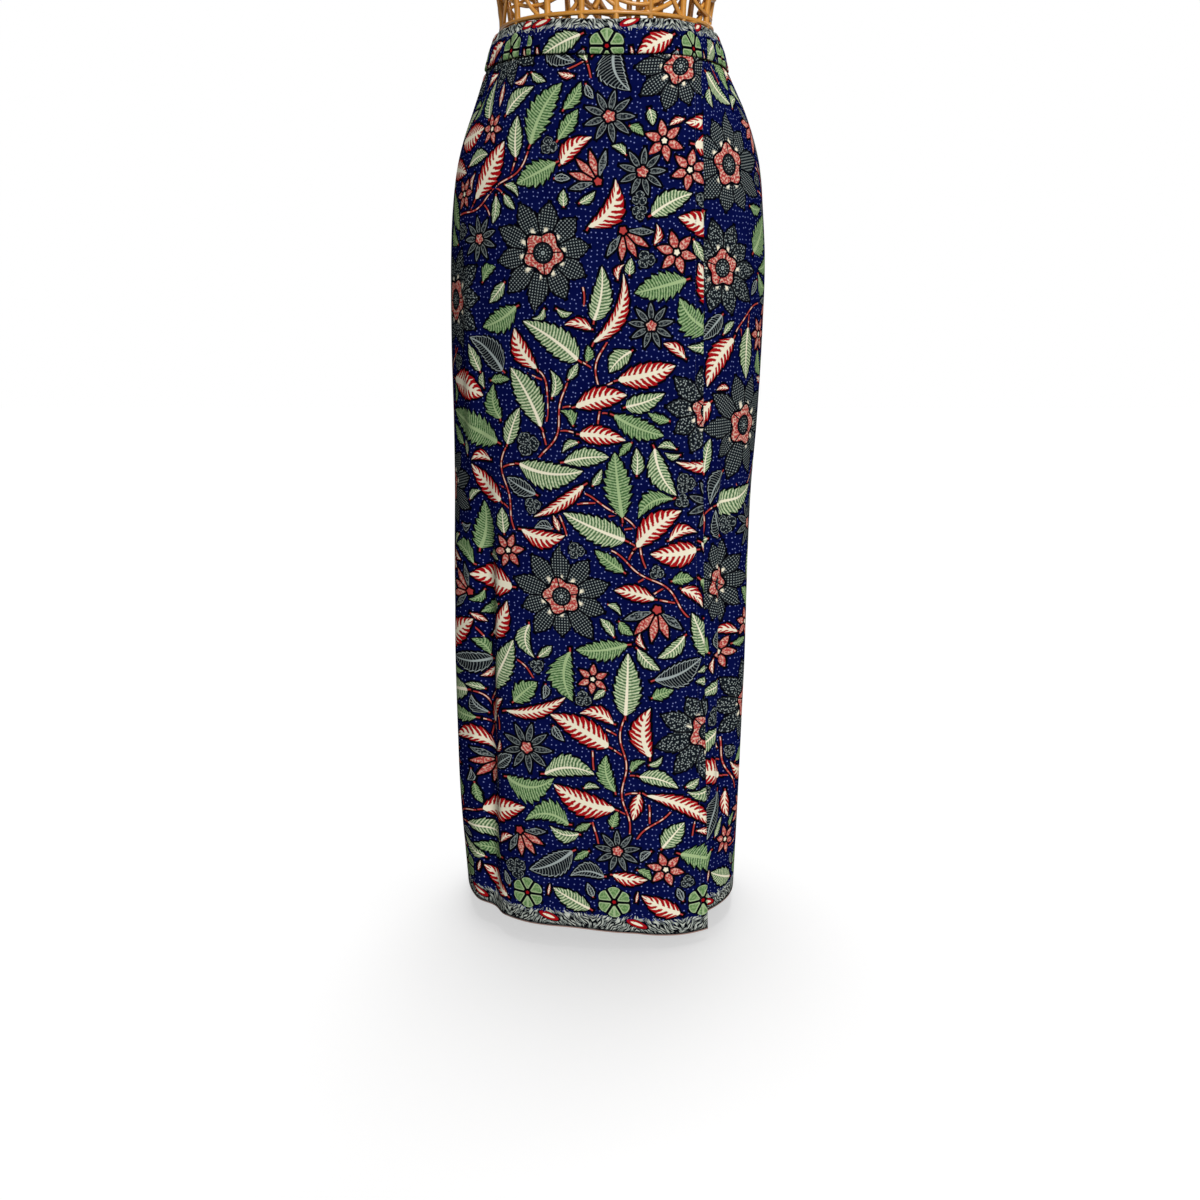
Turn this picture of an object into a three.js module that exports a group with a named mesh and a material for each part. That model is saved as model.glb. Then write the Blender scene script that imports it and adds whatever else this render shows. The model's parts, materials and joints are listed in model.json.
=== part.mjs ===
// A long pencil skirt with an overlapping front and an elastic waistband, on a limbless dress form.
// Millimetres, +Z up, the front towards -Y, the origin on the floor below the middle of the waist.
// Angles are in degrees round the figure: 0 is the centre front, 90 is the +X side, 180 is the back.
import * as THREE from "three";

// Heights above the floor.
const WAIST = 984;
const HEM = 24;
const OVERLAP_DROOP = 12;
const FORM_TOP = 1400;
const FORM_FOOT = 640;
const BASE_HEIGHT = 8;

// The cloth.
const CLOTH = 1.6;
const SEAM = 0.3;
const BAND_HEIGHT = 35;
const BAND_PROUD = 0.8;
const BAND_ROLL = 0.6;
const BAND_DIP = 3;
const SIDE_SEAM = 90;
const UNDERLAP = 22;
const OVERLAP_FLARE = 10;

// The elastic part of the waist and the gathers that it draws in.
const ELASTIC_FROM = 50;
const ELASTIC_TO = 314;
const GATHER_PITCH = 6;
const GATHER_DEPTH = 2.4;
const BAND_GATHER_DEPTH = 1.5;
const GATHER_SHORTEST = 30;
const GATHER_SPREAD = 50;

// The stand.
const POLE_RADIUS = 12.5;
const FLANGE_RADIUS = 34;
const FLANGE_HEIGHT = 6;
const BASE_HALF_WIDTH = 122;
const BASE_HALF_DEPTH = 102;
const BASE_EDGE = 2;

// How finely the walls are faceted.
const CELL = 4;
const CELL_SPLIT = 4;
const FORM_COLUMNS = 40;
const ROUND_STEPS = 40;

// The outer face of the cloth without its folds: how far it reaches from the middle line to the
// left, right, front and back, and how square its section is (2 is an ellipse).
const FIGURE = [
  { z: 984, left: 118.5, right: 117.5, front: 94, back: 92, square: 2 },
  { z: 967, left: 124, right: 124, front: 99, back: 98, square: 2 },
  { z: 949, left: 129, right: 129, front: 102, back: 104, square: 2 },
  { z: 926, left: 137, right: 140, front: 107, back: 112, square: 2 },
  { z: 908, left: 144, right: 149, front: 111, back: 118, square: 2.02 },
  { z: 880, left: 155, right: 159.5, front: 117, back: 127, square: 2.05 },
  { z: 850, left: 163, right: 167, front: 122, back: 134, square: 2.08 },
  { z: 800, left: 169.5, right: 172, front: 127, back: 140, square: 2.1 },
  { z: 750, left: 172, right: 175, front: 129, back: 141, square: 2.12 },
  { z: 660, left: 173, right: 173.5, front: 130, back: 137, square: 2.15 },
  { z: 570, left: 172, right: 169.5, front: 131, back: 131, square: 2.18 },
  { z: 500, left: 172.5, right: 165, front: 132, back: 127, square: 2.2 },
  { z: 410, left: 175, right: 163, front: 134, back: 123, square: 2.22 },
  { z: 310, left: 176, right: 162, front: 137, back: 119, square: 2.24 },
  { z: 210, left: 175, right: 159, front: 139, back: 116, square: 2.26 },
  { z: 110, left: 173, right: 158, front: 141, back: 114, square: 2.28 },
  { z: 24, left: 167.5, right: 155, front: 142, back: 112, square: 2.3 },
];

// The form above the waist.
const TORSO = [
  { z: 984, left: 116, right: 115, front: 91.5, back: 89.5, square: 2 },
  { z: 1005, left: 116.5, right: 115.5, front: 92, back: 90, square: 2 },
  { z: 1022, left: 119, right: 118, front: 94, back: 91, square: 2 },
  { z: 1060, left: 125, right: 125, front: 100, back: 96, square: 2 },
  { z: 1110, left: 135, right: 135, front: 110, back: 103, square: 2.05 },
  { z: 1160, left: 143, right: 143, front: 119, back: 109, square: 2.1 },
  { z: 1200, left: 148, right: 148, front: 120, back: 113, square: 2.1 },
  { z: 1240, left: 153, right: 153, front: 111, back: 114, square: 2.1 },
  { z: 1280, left: 160, right: 160, front: 97, back: 110, square: 2.15 },
  { z: 1306, left: 161, right: 161, front: 86, back: 102, square: 2.15 },
  { z: 1326, left: 146, right: 146, front: 76, back: 91, square: 2.1 },
  { z: 1341, left: 112, right: 112, front: 66, back: 78, square: 2 },
  { z: 1353, left: 76, right: 76, front: 57, back: 64, square: 2 },
  { z: 1368, left: 58, right: 58, front: 52, back: 54, square: 2 },
  { z: FORM_TOP, left: 52, right: 52, front: 49, back: 49, square: 2 },
];

// The rounded foot of the form, as a share of the cloth's section.
const FORM_UNDERSIDE = [
  { z: FORM_FOOT, share: 0.3 },
  { z: 643, share: 0.52 },
  { z: 653, share: 0.7 },
  { z: 670, share: 0.84 },
  { z: 697, share: 0.935 },
  { z: 730, share: 0.98 },
  { z: 762, share: 0.995 },
];
const FORM_CLEAR = 0.5;
const HIP_ROWS = 3;

// The largest folds. A fold lies at an angle, leans to another by the hem, is so many degrees
// to each side, and stands out (or in, below zero) between two heights.
const FOLDS = [
  { angle: -63, hemAngle: -60, halfWidth: 7, depth: 4, high: 830, low: 430 },
  { angle: -58, hemAngle: -54, halfWidth: 9, depth: -13, high: 560, low: -60 },
  { angle: -74, hemAngle: -71, halfWidth: 9, depth: 4, high: 480, low: 20 },
  { angle: 57, hemAngle: 57, halfWidth: 7, depth: -11, high: 640, low: 60 },
  { angle: 72, hemAngle: 70, halfWidth: 9, depth: 4, high: 560, low: 60 },
  { angle: 112, hemAngle: 118, halfWidth: 12, depth: -6, high: 600, low: -200 },
  { angle: 148, hemAngle: 154, halfWidth: 11, depth: -8, high: 610, low: -300 },
  { angle: 196, hemAngle: 190, halfWidth: 10, depth: -6, high: 590, low: -200 },
  { angle: 226, hemAngle: 218, halfWidth: 12, depth: -9, high: 620, low: -300 },
  { angle: 250, hemAngle: 247, halfWidth: 10, depth: 4, high: 600, low: 0 },
];
const FOLD_RUN = 170;

// Where the free edge of the overlap and that of the panel below it lie.
const OVERLAP_EDGE = [
  { z: 949, x: 95 },
  { z: 560, x: 99 },
  { z: 12, x: 107 },
];

const degrees = (radians) => (radians * 180) / Math.PI;
const radians = (angle) => (angle * Math.PI) / 180;
const mix = (a, b, share) => a + (b - a) * share;

// 0 at one end, 1 at the other, level at both.
function ease(from, to, value) {
  const share = Math.min(1, Math.max(0, (value - from) / (to - from)));
  return share * share * (3 - 2 * share);
}

// A table's column at a height, on a smooth curve through its rows.
function read(table, column, z) {
  const rows = table[0].z < table[1].z ? table : [...table].reverse();
  const last = rows.length - 1;
  if (z <= rows[0].z) return rows[0][column];
  if (z >= rows[last].z) return rows[last][column];
  const i = rows.findIndex((row) => row.z > z) - 1;
  const slope = (a, b) => (rows[b][column] - rows[a][column]) / (rows[b].z - rows[a].z);
  const step = rows[i + 1].z - rows[i].z;
  const here = slope(i, i + 1);
  const before = i > 0 ? (slope(i - 1, i) + here) / 2 : here;
  const after = i + 1 < last ? (slope(i + 1, i + 2) + here) / 2 : here;
  const t = (z - rows[i].z) / step;
  const rise = ease(0, 1, t);
  const bend = step * t * (1 - t) * (before * (1 - t) - after * t);
  return mix(rows[i][column], rows[i + 1][column], rise) + bend;
}

// The distance from the middle line to a section's outline, a superellipse whose four quarters differ.
function reach(table, angle, z) {
  const across = Math.sin(radians(angle));
  const along = Math.cos(radians(angle));
  const side = read(table, across < 0 ? "left" : "right", z);
  const depth = read(table, along > 0 ? "front" : "back", z);
  const square = read(table, "square", z);
  const sum = Math.abs(across / side) ** square + Math.abs(along / depth) ** square;
  return sum ** (-1 / square);
}

// How far the large folds move the cloth out at a place, each a soft ridge or trough.
function foldDepth(angle, z) {
  let depth = 0;
  for (const fold of FOLDS) {
    const middle = mix(fold.hemAngle, fold.angle, (z - HEM) / (WAIST - HEM));
    const away = Math.abs(((angle - middle + 540) % 360) - 180) / fold.halfWidth;
    if (away >= 1) continue;
    const bell = (1 + Math.cos(Math.PI * away)) / 2;
    const top = ease(fold.high, fold.high - FOLD_RUN, z);
    const bottom = ease(fold.low, fold.low + FOLD_RUN, z);
    depth += fold.depth * bell * top * bottom;
  }
  return depth;
}

// The angle at which the cloth's outline is a given distance to the right of the middle.
function angleAt(x, z) {
  const side = read(FIGURE, "right", z);
  const depth = read(FIGURE, "front", z);
  const square = read(FIGURE, "square", z);
  const y = depth * (1 - (x / side) ** square) ** (1 / square);
  return degrees(Math.atan2(x, y));
}

const overlapEdge = (z) => angleAt(read(OVERLAP_EDGE, "x", z), z);
const underlapEdge = (z) => overlapEdge(z) - UNDERLAP;

// Half of a seam's gap, in degrees.
const halfSeam = (angle, z) => degrees(SEAM / 2 / reach(FIGURE, angle, z));

// The waistband dips at the centre front.
function bandTop(angle) {
  const front = Math.cos(radians(angle)) > 0 ? 1 : 0;
  return WAIST + BAND_DIP * front * Math.sin(radians(2 * angle)) ** 2;
}
const bandFoot = (angle) => bandTop(angle) - BAND_HEIGHT;
const PANEL_TOP = WAIST - BAND_HEIGHT;

// Gathers stand out between the ends of the elastic. Each has its own length and fullness.
function gatherShare(angle) {
  const turn = (angle + 720) % 360;
  return ease(ELASTIC_FROM, ELASTIC_FROM + 3, turn) * ease(ELASTIC_TO, ELASTIC_TO - 3, turn);
}
function gather(angle, z) {
  const turn = (angle + 720) % 360;
  const number = Math.floor((turn - ELASTIC_FROM) / GATHER_PITCH);
  const full = 0.75 + 0.25 * Math.sin(number * 2.4);
  const length = GATHER_SHORTEST + GATHER_SPREAD * (0.5 + 0.5 * Math.sin(number * 4.1 + 1));
  const wave = (1 - Math.cos((2 * Math.PI * (turn - ELASTIC_FROM)) / GATHER_PITCH)) / 2;
  const below = bandFoot(angle) - z;
  const fade = below < 0 ? 1 : 1 - ease(0, length, below);
  return gatherShare(angle) * wave * full * fade;
}

// A point of the smooth cloth's outline moved out along its normal.
function clothPoint(angle, z, lift, out) {
  const spot = (at) => {
    const r = reach(FIGURE, at, z) + foldDepth(at, z) + lift(at, z);
    return new THREE.Vector2(r * Math.sin(radians(at)), -r * Math.cos(radians(at)));
  };
  const here = spot(angle);
  const run = spot(angle + 0.5).sub(spot(angle - 0.5)).normalize();
  return new THREE.Vector3(here.x + run.y * out, here.y - run.x * out, z);
}

// Joins two rows of points that cover the same cells, where a cell has one or several points.
function stitch(faces, near, far, turned) {
  const add = (a, b, c) => faces.push(turned ? [a, c, b] : [a, b, c]);
  for (let cell = 0; cell + 1 < near.length; cell += 1) {
    const a = [...near[cell], near[cell + 1][0]];
    const b = [...far[cell], far[cell + 1][0]];
    const lastA = a.length - 1;
    const lastB = b.length - 1;
    let i = 0;
    let j = 0;
    while (i < lastA || j < lastB) {
      if (j === lastB || (i < lastA && i / lastA <= j / lastB)) {
        add(a[i], a[i + 1], b[j]);
        i += 1;
      } else {
        add(a[i], b[j + 1], b[j]);
        j += 1;
      }
    }
  }
}

// A mesh of triangles between numbered points.
function solid(name, points, faces, material) {
  const corners = faces.flat().flatMap((index) => points[index].toArray());
  const geometry = new THREE.BufferGeometry();
  geometry.setAttribute("position", new THREE.Float32BufferAttribute(corners, 3));
  geometry.computeVertexNormals();
  const mesh = new THREE.Mesh(geometry, material);
  mesh.name = name;
  return mesh;
}

// A wall of cloth between two edges. `outer` and `inner` list rows from the top down. A row gives
// its height and how far it is moved out; where it is ruffled, the gathered cells have more points.
function wall({ name, from, to, outer, inner, lift, ruffle, material }) {
  const first = from(PANEL_TOP);
  const last = to(PANEL_TOP);
  const cells = Math.round((last - first) / CELL);
  const points = [];
  const row = ({ height, out, ruffled }, share, fine) => {
    const numbers = [];
    for (let cell = 0; cell <= cells; cell += 1) {
      const middle = mix(first, last, (cell + 0.5) / cells);
      const split = fine && cell < cells && ruffle(middle) ? CELL_SPLIT : 1;
      numbers.push([]);
      for (let k = 0; k < split; k += 1) {
        const across = (cell + k / split) / cells;
        const z = height(mix(first, last, across), share);
        const angle = mix(from(z), to(z), across);
        const wave = ruffled ? ruffled(angle, z) : 0;
        numbers[cell].push(points.length);
        points.push(clothPoint(angle, z, lift, out + wave));
      }
    }
    return numbers;
  };
  const outerRows = outer.map((entry) => row(entry, entry.share, entry.fine));
  const innerRows = inner.map((entry) => row(entry, entry.share, false));
  const faces = [];
  for (let i = 0; i + 1 < outerRows.length; i += 1) {
    stitch(faces, outerRows[i], outerRows[i + 1], true);
  }
  for (let i = 0; i + 1 < innerRows.length; i += 1) {
    stitch(faces, innerRows[i], innerRows[i + 1], false);
  }
  stitch(faces, outerRows[0], innerRows[0], false);
  stitch(faces, outerRows[outer.length - 1], innerRows[inner.length - 1], true);
  const column = (rows, cell) => {
    const numbers = rows.map((entry) => entry[cell][0]);
    return [numbers.slice(0, -1), numbers.slice(-1)];
  };
  stitch(faces, column(outerRows, 0), column(innerRows, 0), true);
  stitch(faces, column(outerRows, cells), column(innerRows, cells), false);
  return solid(name, points, faces, material);
}

// The rows of a skirt panel: close together in the gathers, then wider and wider down to the hem.
const GATHER_ROWS = 5;
const GATHER_ZONE = 84;
const LONG_ROWS = 14;
const ROW_SPREAD = 1.35;
const longShare = (i) => (i / LONG_ROWS) ** ROW_SPREAD;
function panelRows(hem, ruffled) {
  const outer = [];
  for (let i = 0; i <= GATHER_ROWS; i += 1) {
    const share = i / GATHER_ROWS;
    const height = (angle) => bandFoot(angle) - SEAM - GATHER_ZONE * share;
    outer.push({ height, share, out: 0, ruffled, fine: i < GATHER_ROWS });
  }
  for (let i = 1; i <= LONG_ROWS; i += 1) {
    const height = (angle, share) => mix(bandFoot(angle) - SEAM - GATHER_ZONE, hem(angle), share);
    outer.push({ height, share: longShare(i), out: 0 });
  }
  const inner = outer.map(({ height, share }) => ({ height, share, out: -CLOTH }));
  return { outer, inner };
}

// The front overlap climbs over the panel below it, and stands off towards the hem.
function overlapLift(angle, z) {
  const edge = underlapEdge(z);
  const step = ease(edge - 10, edge - 1, angle) * (CLOTH + SEAM);
  const low = 1 - Math.min(1, Math.max(0, z / WAIST));
  return step + ease(edge - 12, overlapEdge(z) + 4, angle) * OVERLAP_FLARE * low ** 2;
}
const noLift = () => 0;

// Only the panel's own side of the overlap's edge is gathered where it shows.
const ruffleAll = (angle, z) => GATHER_DEPTH * gather(angle, z);
const ruffleShown = (angle, z) => ruffleAll(angle, z) * ease(0.5, 3, angle - overlapEdge(z));
const ruffleBand = (angle, z) => BAND_GATHER_DEPTH * gather(angle, z);
const inElastic = (angle) => gatherShare(angle) > 0;

const fabric = (color) => new THREE.MeshStandardMaterial({ color, roughness: 0.85, metalness: 0 });

function frontPanel() {
  const droop = (angle) => HEM - OVERLAP_DROOP * ease(-20, overlapEdge(HEM), angle);
  return wall({
    name: "front_overlap_panel",
    from: (z) => -SIDE_SEAM + halfSeam(-SIDE_SEAM, z),
    to: overlapEdge,
    ...panelRows(droop, ruffleAll),
    lift: overlapLift,
    ruffle: inElastic,
    material: fabric(0x1a2260),
  });
}

function underPanel() {
  return wall({
    name: "front_under_panel",
    from: underlapEdge,
    to: (z) => SIDE_SEAM - halfSeam(SIDE_SEAM, z),
    ...panelRows(() => HEM, ruffleShown),
    lift: noLift,
    ruffle: (angle) => angle > overlapEdge(PANEL_TOP) && inElastic(angle),
    material: fabric(0x202a66),
  });
}

function backPanel() {
  return wall({
    name: "back_panel",
    from: (z) => SIDE_SEAM + halfSeam(SIDE_SEAM, z),
    to: (z) => 360 - SIDE_SEAM - halfSeam(-SIDE_SEAM, z),
    ...panelRows(() => HEM, ruffleAll),
    lift: noLift,
    ruffle: inElastic,
    material: fabric(0x1a2260),
  });
}

// A waistband piece is a folded strip: full in its middle and rounded towards its two edges.
const BAND_SHARES = [
  { share: 0, out: BAND_PROUD - BAND_ROLL },
  { share: 0.12, out: BAND_PROUD },
  { share: 0.55, out: BAND_PROUD + BAND_ROLL },
  { share: 0.9, out: BAND_PROUD },
  { share: 1, out: BAND_PROUD - BAND_ROLL },
];
function waistband(name, from, to, ruffled) {
  const height = (angle, share) => bandTop(angle) - BAND_HEIGHT * share;
  const outer = BAND_SHARES.map((entry) => ({ ...entry, height, ruffled, fine: true }));
  const inner = [0, 0.5, 1].map((share) => ({ share, height, out: -CLOTH }));
  return wall({
    name,
    from: (z) => from + halfSeam(from, z),
    to: (z) => to - halfSeam(to, z),
    outer,
    inner,
    lift: noLift,
    ruffle: inElastic,
    material: fabric(0x1a2260),
  });
}

// A closed skin through rows of points round the middle line, with a flat disc at each end.
function skin(name, rows, columns, material) {
  const points = rows.flat();
  const faces = [];
  const at = (row, column) => row * columns + (column % columns);
  for (let row = 0; row + 1 < rows.length; row += 1) {
    for (let column = 0; column < columns; column += 1) {
      const corner = [at(row, column), at(row, column + 1), at(row + 1, column), at(row + 1, column + 1)];
      faces.push([corner[0], corner[1], corner[3]]);
      faces.push([corner[0], corner[3], corner[2]]);
    }
  }
  for (const [row, turned] of [[0, true], [rows.length - 1, false]]) {
    const middle = points.length;
    points.push(new THREE.Vector3(0, 0, rows[row][0].z));
    for (let column = 0; column < columns; column += 1) {
      const a = at(row, column);
      const b = at(row, column + 1);
      faces.push(turned ? [middle, b, a] : [middle, a, b]);
    }
  }
  return solid(name, points, faces, material);
}

// The smooth limbless form: inside the skirt it follows the cloth, and above it the general figure.
function dressForm() {
  const ring = (z, distance) => {
    const row = [];
    for (let column = 0; column < FORM_COLUMNS; column += 1) {
      const angle = (column * 360) / FORM_COLUMNS;
      const r = distance(angle);
      row.push(new THREE.Vector3(r * Math.sin(radians(angle)), -r * Math.cos(radians(angle)), z));
    }
    return row;
  };
  const inset = CLOTH + FORM_CLEAR;
  const underside = FORM_UNDERSIDE.map(({ z, share }) =>
    ring(z, (angle) => reach(FIGURE, angle, z) * share - inset),
  );
  const heights = [WAIST - BAND_HEIGHT / 2];
  for (let i = 0; i <= GATHER_ROWS; i += 1) heights.push(PANEL_TOP - (GATHER_ZONE * i) / GATHER_ROWS);
  for (let i = 1; i <= HIP_ROWS; i += 1) heights.push(mix(PANEL_TOP - GATHER_ZONE, HEM, longShare(i)));
  const inside = heights.reverse().map((z) => ring(z, (angle) => reach(FIGURE, angle, z) - inset));
  const above = TORSO.map(({ z }) => ring(z, (angle) => reach(TORSO, angle, z)));
  const material = new THREE.MeshStandardMaterial({ color: 0xb8762c, roughness: 0.45, metalness: 0 });
  return skin("dress_form", [...underside, ...inside, ...above], FORM_COLUMNS, material);
}

// A steel pole with a round flange on which the form is screwed down.
function pole() {
  const foot = BASE_HEIGHT + SEAM;
  const top = FORM_FOOT - SEAM;
  const profile = [
    new THREE.Vector2(0, foot),
    new THREE.Vector2(POLE_RADIUS, foot),
    new THREE.Vector2(POLE_RADIUS, top - FLANGE_HEIGHT),
    new THREE.Vector2(FLANGE_RADIUS, top - FLANGE_HEIGHT),
    new THREE.Vector2(FLANGE_RADIUS, top),
    new THREE.Vector2(0, top),
  ];
  const material = new THREE.MeshStandardMaterial({ color: 0x2b2b2d, roughness: 0.4, metalness: 0.8 });
  const mesh = new THREE.Mesh(new THREE.LatheGeometry(profile, ROUND_STEPS), material);
  mesh.rotation.x = Math.PI / 2;
  mesh.name = "stand_pole";
  return mesh;
}

// An oval steel plate with a rounded upper edge.
function basePlate() {
  const ring = (inset, z) => {
    const row = [];
    for (let step = 0; step < ROUND_STEPS; step += 1) {
      const turn = (step * 2 * Math.PI) / ROUND_STEPS;
      const x = (BASE_HALF_WIDTH - inset) * Math.sin(turn);
      const y = -(BASE_HALF_DEPTH - inset) * Math.cos(turn);
      row.push(new THREE.Vector3(x, y, z));
    }
    return row;
  };
  const rows = [ring(0, 0), ring(0, BASE_HEIGHT - BASE_EDGE), ring(BASE_EDGE, BASE_HEIGHT)];
  const material = new THREE.MeshStandardMaterial({ color: 0x2b2b2d, roughness: 0.5, metalness: 0.8 });
  return skin("stand_base", rows, ROUND_STEPS, material);
}

const skirt = new THREE.Group();
skirt.add(frontPanel());
skirt.add(underPanel());
skirt.add(backPanel());
skirt.add(waistband("waistband_front", ELASTIC_TO - 360, ELASTIC_FROM, null));
skirt.add(waistband("waistband_elastic", ELASTIC_FROM, ELASTIC_TO, ruffleBand));
skirt.add(dressForm());
skirt.add(pole());
skirt.add(basePlate());

export default skirt;
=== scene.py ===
"""A long batik pencil skirt on a cane dress form: the looks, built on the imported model's frame.

Everything is in metres. Angles go round the figure in degrees: 0 is the centre front (-Y), 90 is
+X and 180 is the back. The cloth is worked out as grids of points: columns follow the threads of
the cloth down, rows go round. The print is laid out on the same grids, so that each face of the
cloth knows which motif it shows and where in that motif it lies.
"""
import json
import math

import bpy
import numpy as np
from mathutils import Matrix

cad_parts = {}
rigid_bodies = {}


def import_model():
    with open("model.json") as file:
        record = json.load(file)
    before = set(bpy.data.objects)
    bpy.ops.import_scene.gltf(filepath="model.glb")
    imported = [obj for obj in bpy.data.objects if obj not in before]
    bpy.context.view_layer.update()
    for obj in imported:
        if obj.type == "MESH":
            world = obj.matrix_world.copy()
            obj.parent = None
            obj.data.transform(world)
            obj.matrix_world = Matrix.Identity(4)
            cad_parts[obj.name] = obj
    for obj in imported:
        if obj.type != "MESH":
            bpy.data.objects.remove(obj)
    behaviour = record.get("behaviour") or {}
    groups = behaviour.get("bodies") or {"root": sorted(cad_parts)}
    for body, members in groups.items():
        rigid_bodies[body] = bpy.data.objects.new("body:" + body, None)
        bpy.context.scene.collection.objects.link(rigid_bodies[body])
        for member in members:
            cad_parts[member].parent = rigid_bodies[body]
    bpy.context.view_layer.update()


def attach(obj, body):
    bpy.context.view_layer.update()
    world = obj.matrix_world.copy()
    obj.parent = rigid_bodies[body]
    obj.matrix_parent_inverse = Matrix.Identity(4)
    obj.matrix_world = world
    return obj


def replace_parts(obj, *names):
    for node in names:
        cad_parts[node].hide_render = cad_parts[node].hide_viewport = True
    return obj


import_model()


# ---------------------------------------------------------------------------------------------
# The camera stands 1.3 m in front of the skirt at the height of the thigh and looks a little
# down. Its frame reaches further down than up, which keeps the waistband close to the upper edge.
CAMERA_DISTANCE = 1.311
CAMERA_HEIGHT = 0.713
CAMERA_PITCH = math.radians(10.1)
CAMERA_YAW = math.radians(0.32)
FRAME_PIXELS = 1200
FOCAL_PIXELS = 1153
SENSOR_MM = 36
CAMERA_SHIFT = -1 / 12

camera_data = bpy.data.cameras.new("camera")
camera_data.sensor_width = SENSOR_MM
camera_data.lens = FOCAL_PIXELS * SENSOR_MM / FRAME_PIXELS
camera_data.shift_y = CAMERA_SHIFT
camera = bpy.data.objects.new("camera", camera_data)
camera.location = (0, -CAMERA_DISTANCE, CAMERA_HEIGHT)
camera.rotation_euler = (math.pi / 2 - CAMERA_PITCH, 0, CAMERA_YAW)
bpy.context.scene.collection.objects.link(camera)
bpy.context.scene.camera = camera


# ---------------------------------------------------------------------------------------------
# The skirt's shape. A length of cotton is wrapped round the hips, laps over itself on the +X side
# of the front, and is drawn in at the sides and back by an elastic. It hangs straight from the
# hips in a few soft folds, and the lapped corner hangs lowest.
WAIST = 0.984
HEM = 0.024
BAND_HEIGHT = 0.035
BAND_DIP = 0.003
SEAM = 0.0003
CLOTH = 0.0016
PANEL_TOP = WAIST - BAND_HEIGHT
PANEL_LENGTH = 0.925
OVERLAP_LENGTH = 0.937
OVERLAP_DROOP = 0.012
OVERLAP_FLARE = 0.010
FLARE_BEFORE = 12
FLARE_PAST = 4
LAP_CLIMB = (10, 1)
UNDERLAP = 22
ELASTIC = (50, 314)
ELASTIC_END = 3
GATHER_PITCH = 6
GATHER_DEPTH = 0.0026
BAND_GATHER_DEPTH = 0.0015
GATHER_SHORTEST = 0.030
GATHER_SPREAD = 0.050
SWELL_DEPTH = 0.0006
SWELL_HEIGHTS = (0.86, 0.45)

# Behind the waistband: how far a panel is tucked in, how far up it reaches, over what height it
# comes out again, and how much of the lap's lift is left there.
SEAM_TUCK = 0.0013
SEAM_RISE = 0.0010
SEAM_RUN = 0.0042
SEAM_LIFT = 0.0009

FIGURE = np.array([
    (0.024, 0.1675, 0.155, 0.142, 0.112, 2.3),
    (0.110, 0.173, 0.158, 0.141, 0.114, 2.28),
    (0.210, 0.175, 0.159, 0.139, 0.116, 2.26),
    (0.310, 0.176, 0.162, 0.137, 0.119, 2.24),
    (0.410, 0.175, 0.163, 0.134, 0.123, 2.22),
    (0.500, 0.1725, 0.165, 0.132, 0.127, 2.2),
    (0.570, 0.172, 0.1695, 0.131, 0.131, 2.18),
    (0.660, 0.173, 0.1735, 0.130, 0.137, 2.15),
    (0.750, 0.172, 0.175, 0.129, 0.141, 2.12),
    (0.800, 0.1695, 0.172, 0.127, 0.140, 2.1),
    (0.850, 0.163, 0.167, 0.122, 0.134, 2.08),
    (0.880, 0.155, 0.1595, 0.117, 0.127, 2.05),
    (0.908, 0.144, 0.149, 0.111, 0.118, 2.02),
    (0.926, 0.137, 0.140, 0.107, 0.112, 2.0),
    (0.949, 0.129, 0.129, 0.102, 0.104, 2.0),
    (0.967, 0.124, 0.124, 0.099, 0.098, 2.0),
    (0.984, 0.1185, 0.1175, 0.094, 0.092, 2.0),
], dtype=[(name, float) for name in ("z", "left", "right", "front", "back", "square")])

FOLDS = np.array([
    (-63, -60, 7, 0.004, 0.830, 0.430),
    (-58, -54, 9, -0.013, 0.560, -0.060),
    (-74, -71, 9, 0.004, 0.480, 0.020),
    (57, 57, 7, -0.011, 0.640, 0.060),
    (72, 70, 9, 0.004, 0.560, 0.060),
    (112, 118, 12, -0.006, 0.600, -0.200),
    (148, 154, 11, -0.008, 0.610, -0.300),
    (196, 190, 10, -0.006, 0.590, -0.200),
    (226, 218, 12, -0.009, 0.620, -0.300),
    (250, 247, 10, 0.004, 0.600, 0.000),
], dtype=[(name, float) for name in ("angle", "hem_angle", "half_width", "depth", "high", "low")])
FOLD_RUN = 0.170

OVERLAP_EDGE = np.array([(0.012, 0.107), (0.560, 0.099), (0.949, 0.095)],
                        dtype=[("z", float), ("x", float)])


def mix(a, b, share):
    """a where share is 0, b where it is 1."""
    return a + (b - a) * share


def ease(start, end, value):
    """0 before start and 1 after end, with the cubic 3t^2 - 2t^3 between them."""
    t = np.clip((value - start) / (end - start), 0, 1)
    return t * t * (3 - 2 * t)


def read(table, column, z):
    """A table's column at heights z, on the cubic through its rows whose slope at a row is the
    mean of the slopes on either side of it."""
    heights, values = table["z"], table[column]
    slopes = np.diff(values) / np.diff(heights)
    rows = np.concatenate([slopes[:1], (slopes[1:] + slopes[:-1]) / 2, slopes[-1:]])
    z = np.clip(z, heights[0], heights[-1])
    i = np.clip(np.searchsorted(heights, z, side="right") - 1, 0, len(heights) - 2)
    step = heights[i + 1] - heights[i]
    t = (z - heights[i]) / step
    bend = step * t * (1 - t) * (rows[i] * (1 - t) - rows[i + 1] * t)
    return mix(values[i], values[i + 1], ease(0, 1, t)) + bend


def reach(table, angle, z):
    """Distance from the middle line to the outline: (|sin|/side)^n + (|cos|/depth)^n = r^-n."""
    across, along = np.sin(np.radians(angle)), np.cos(np.radians(angle))
    side = np.where(across < 0, read(table, "left", z), read(table, "right", z))
    depth = np.where(along > 0, read(table, "front", z), read(table, "back", z))
    square = read(table, "square", z)
    return (np.abs(across / side) ** square + np.abs(along / depth) ** square) ** (-1 / square)


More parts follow.
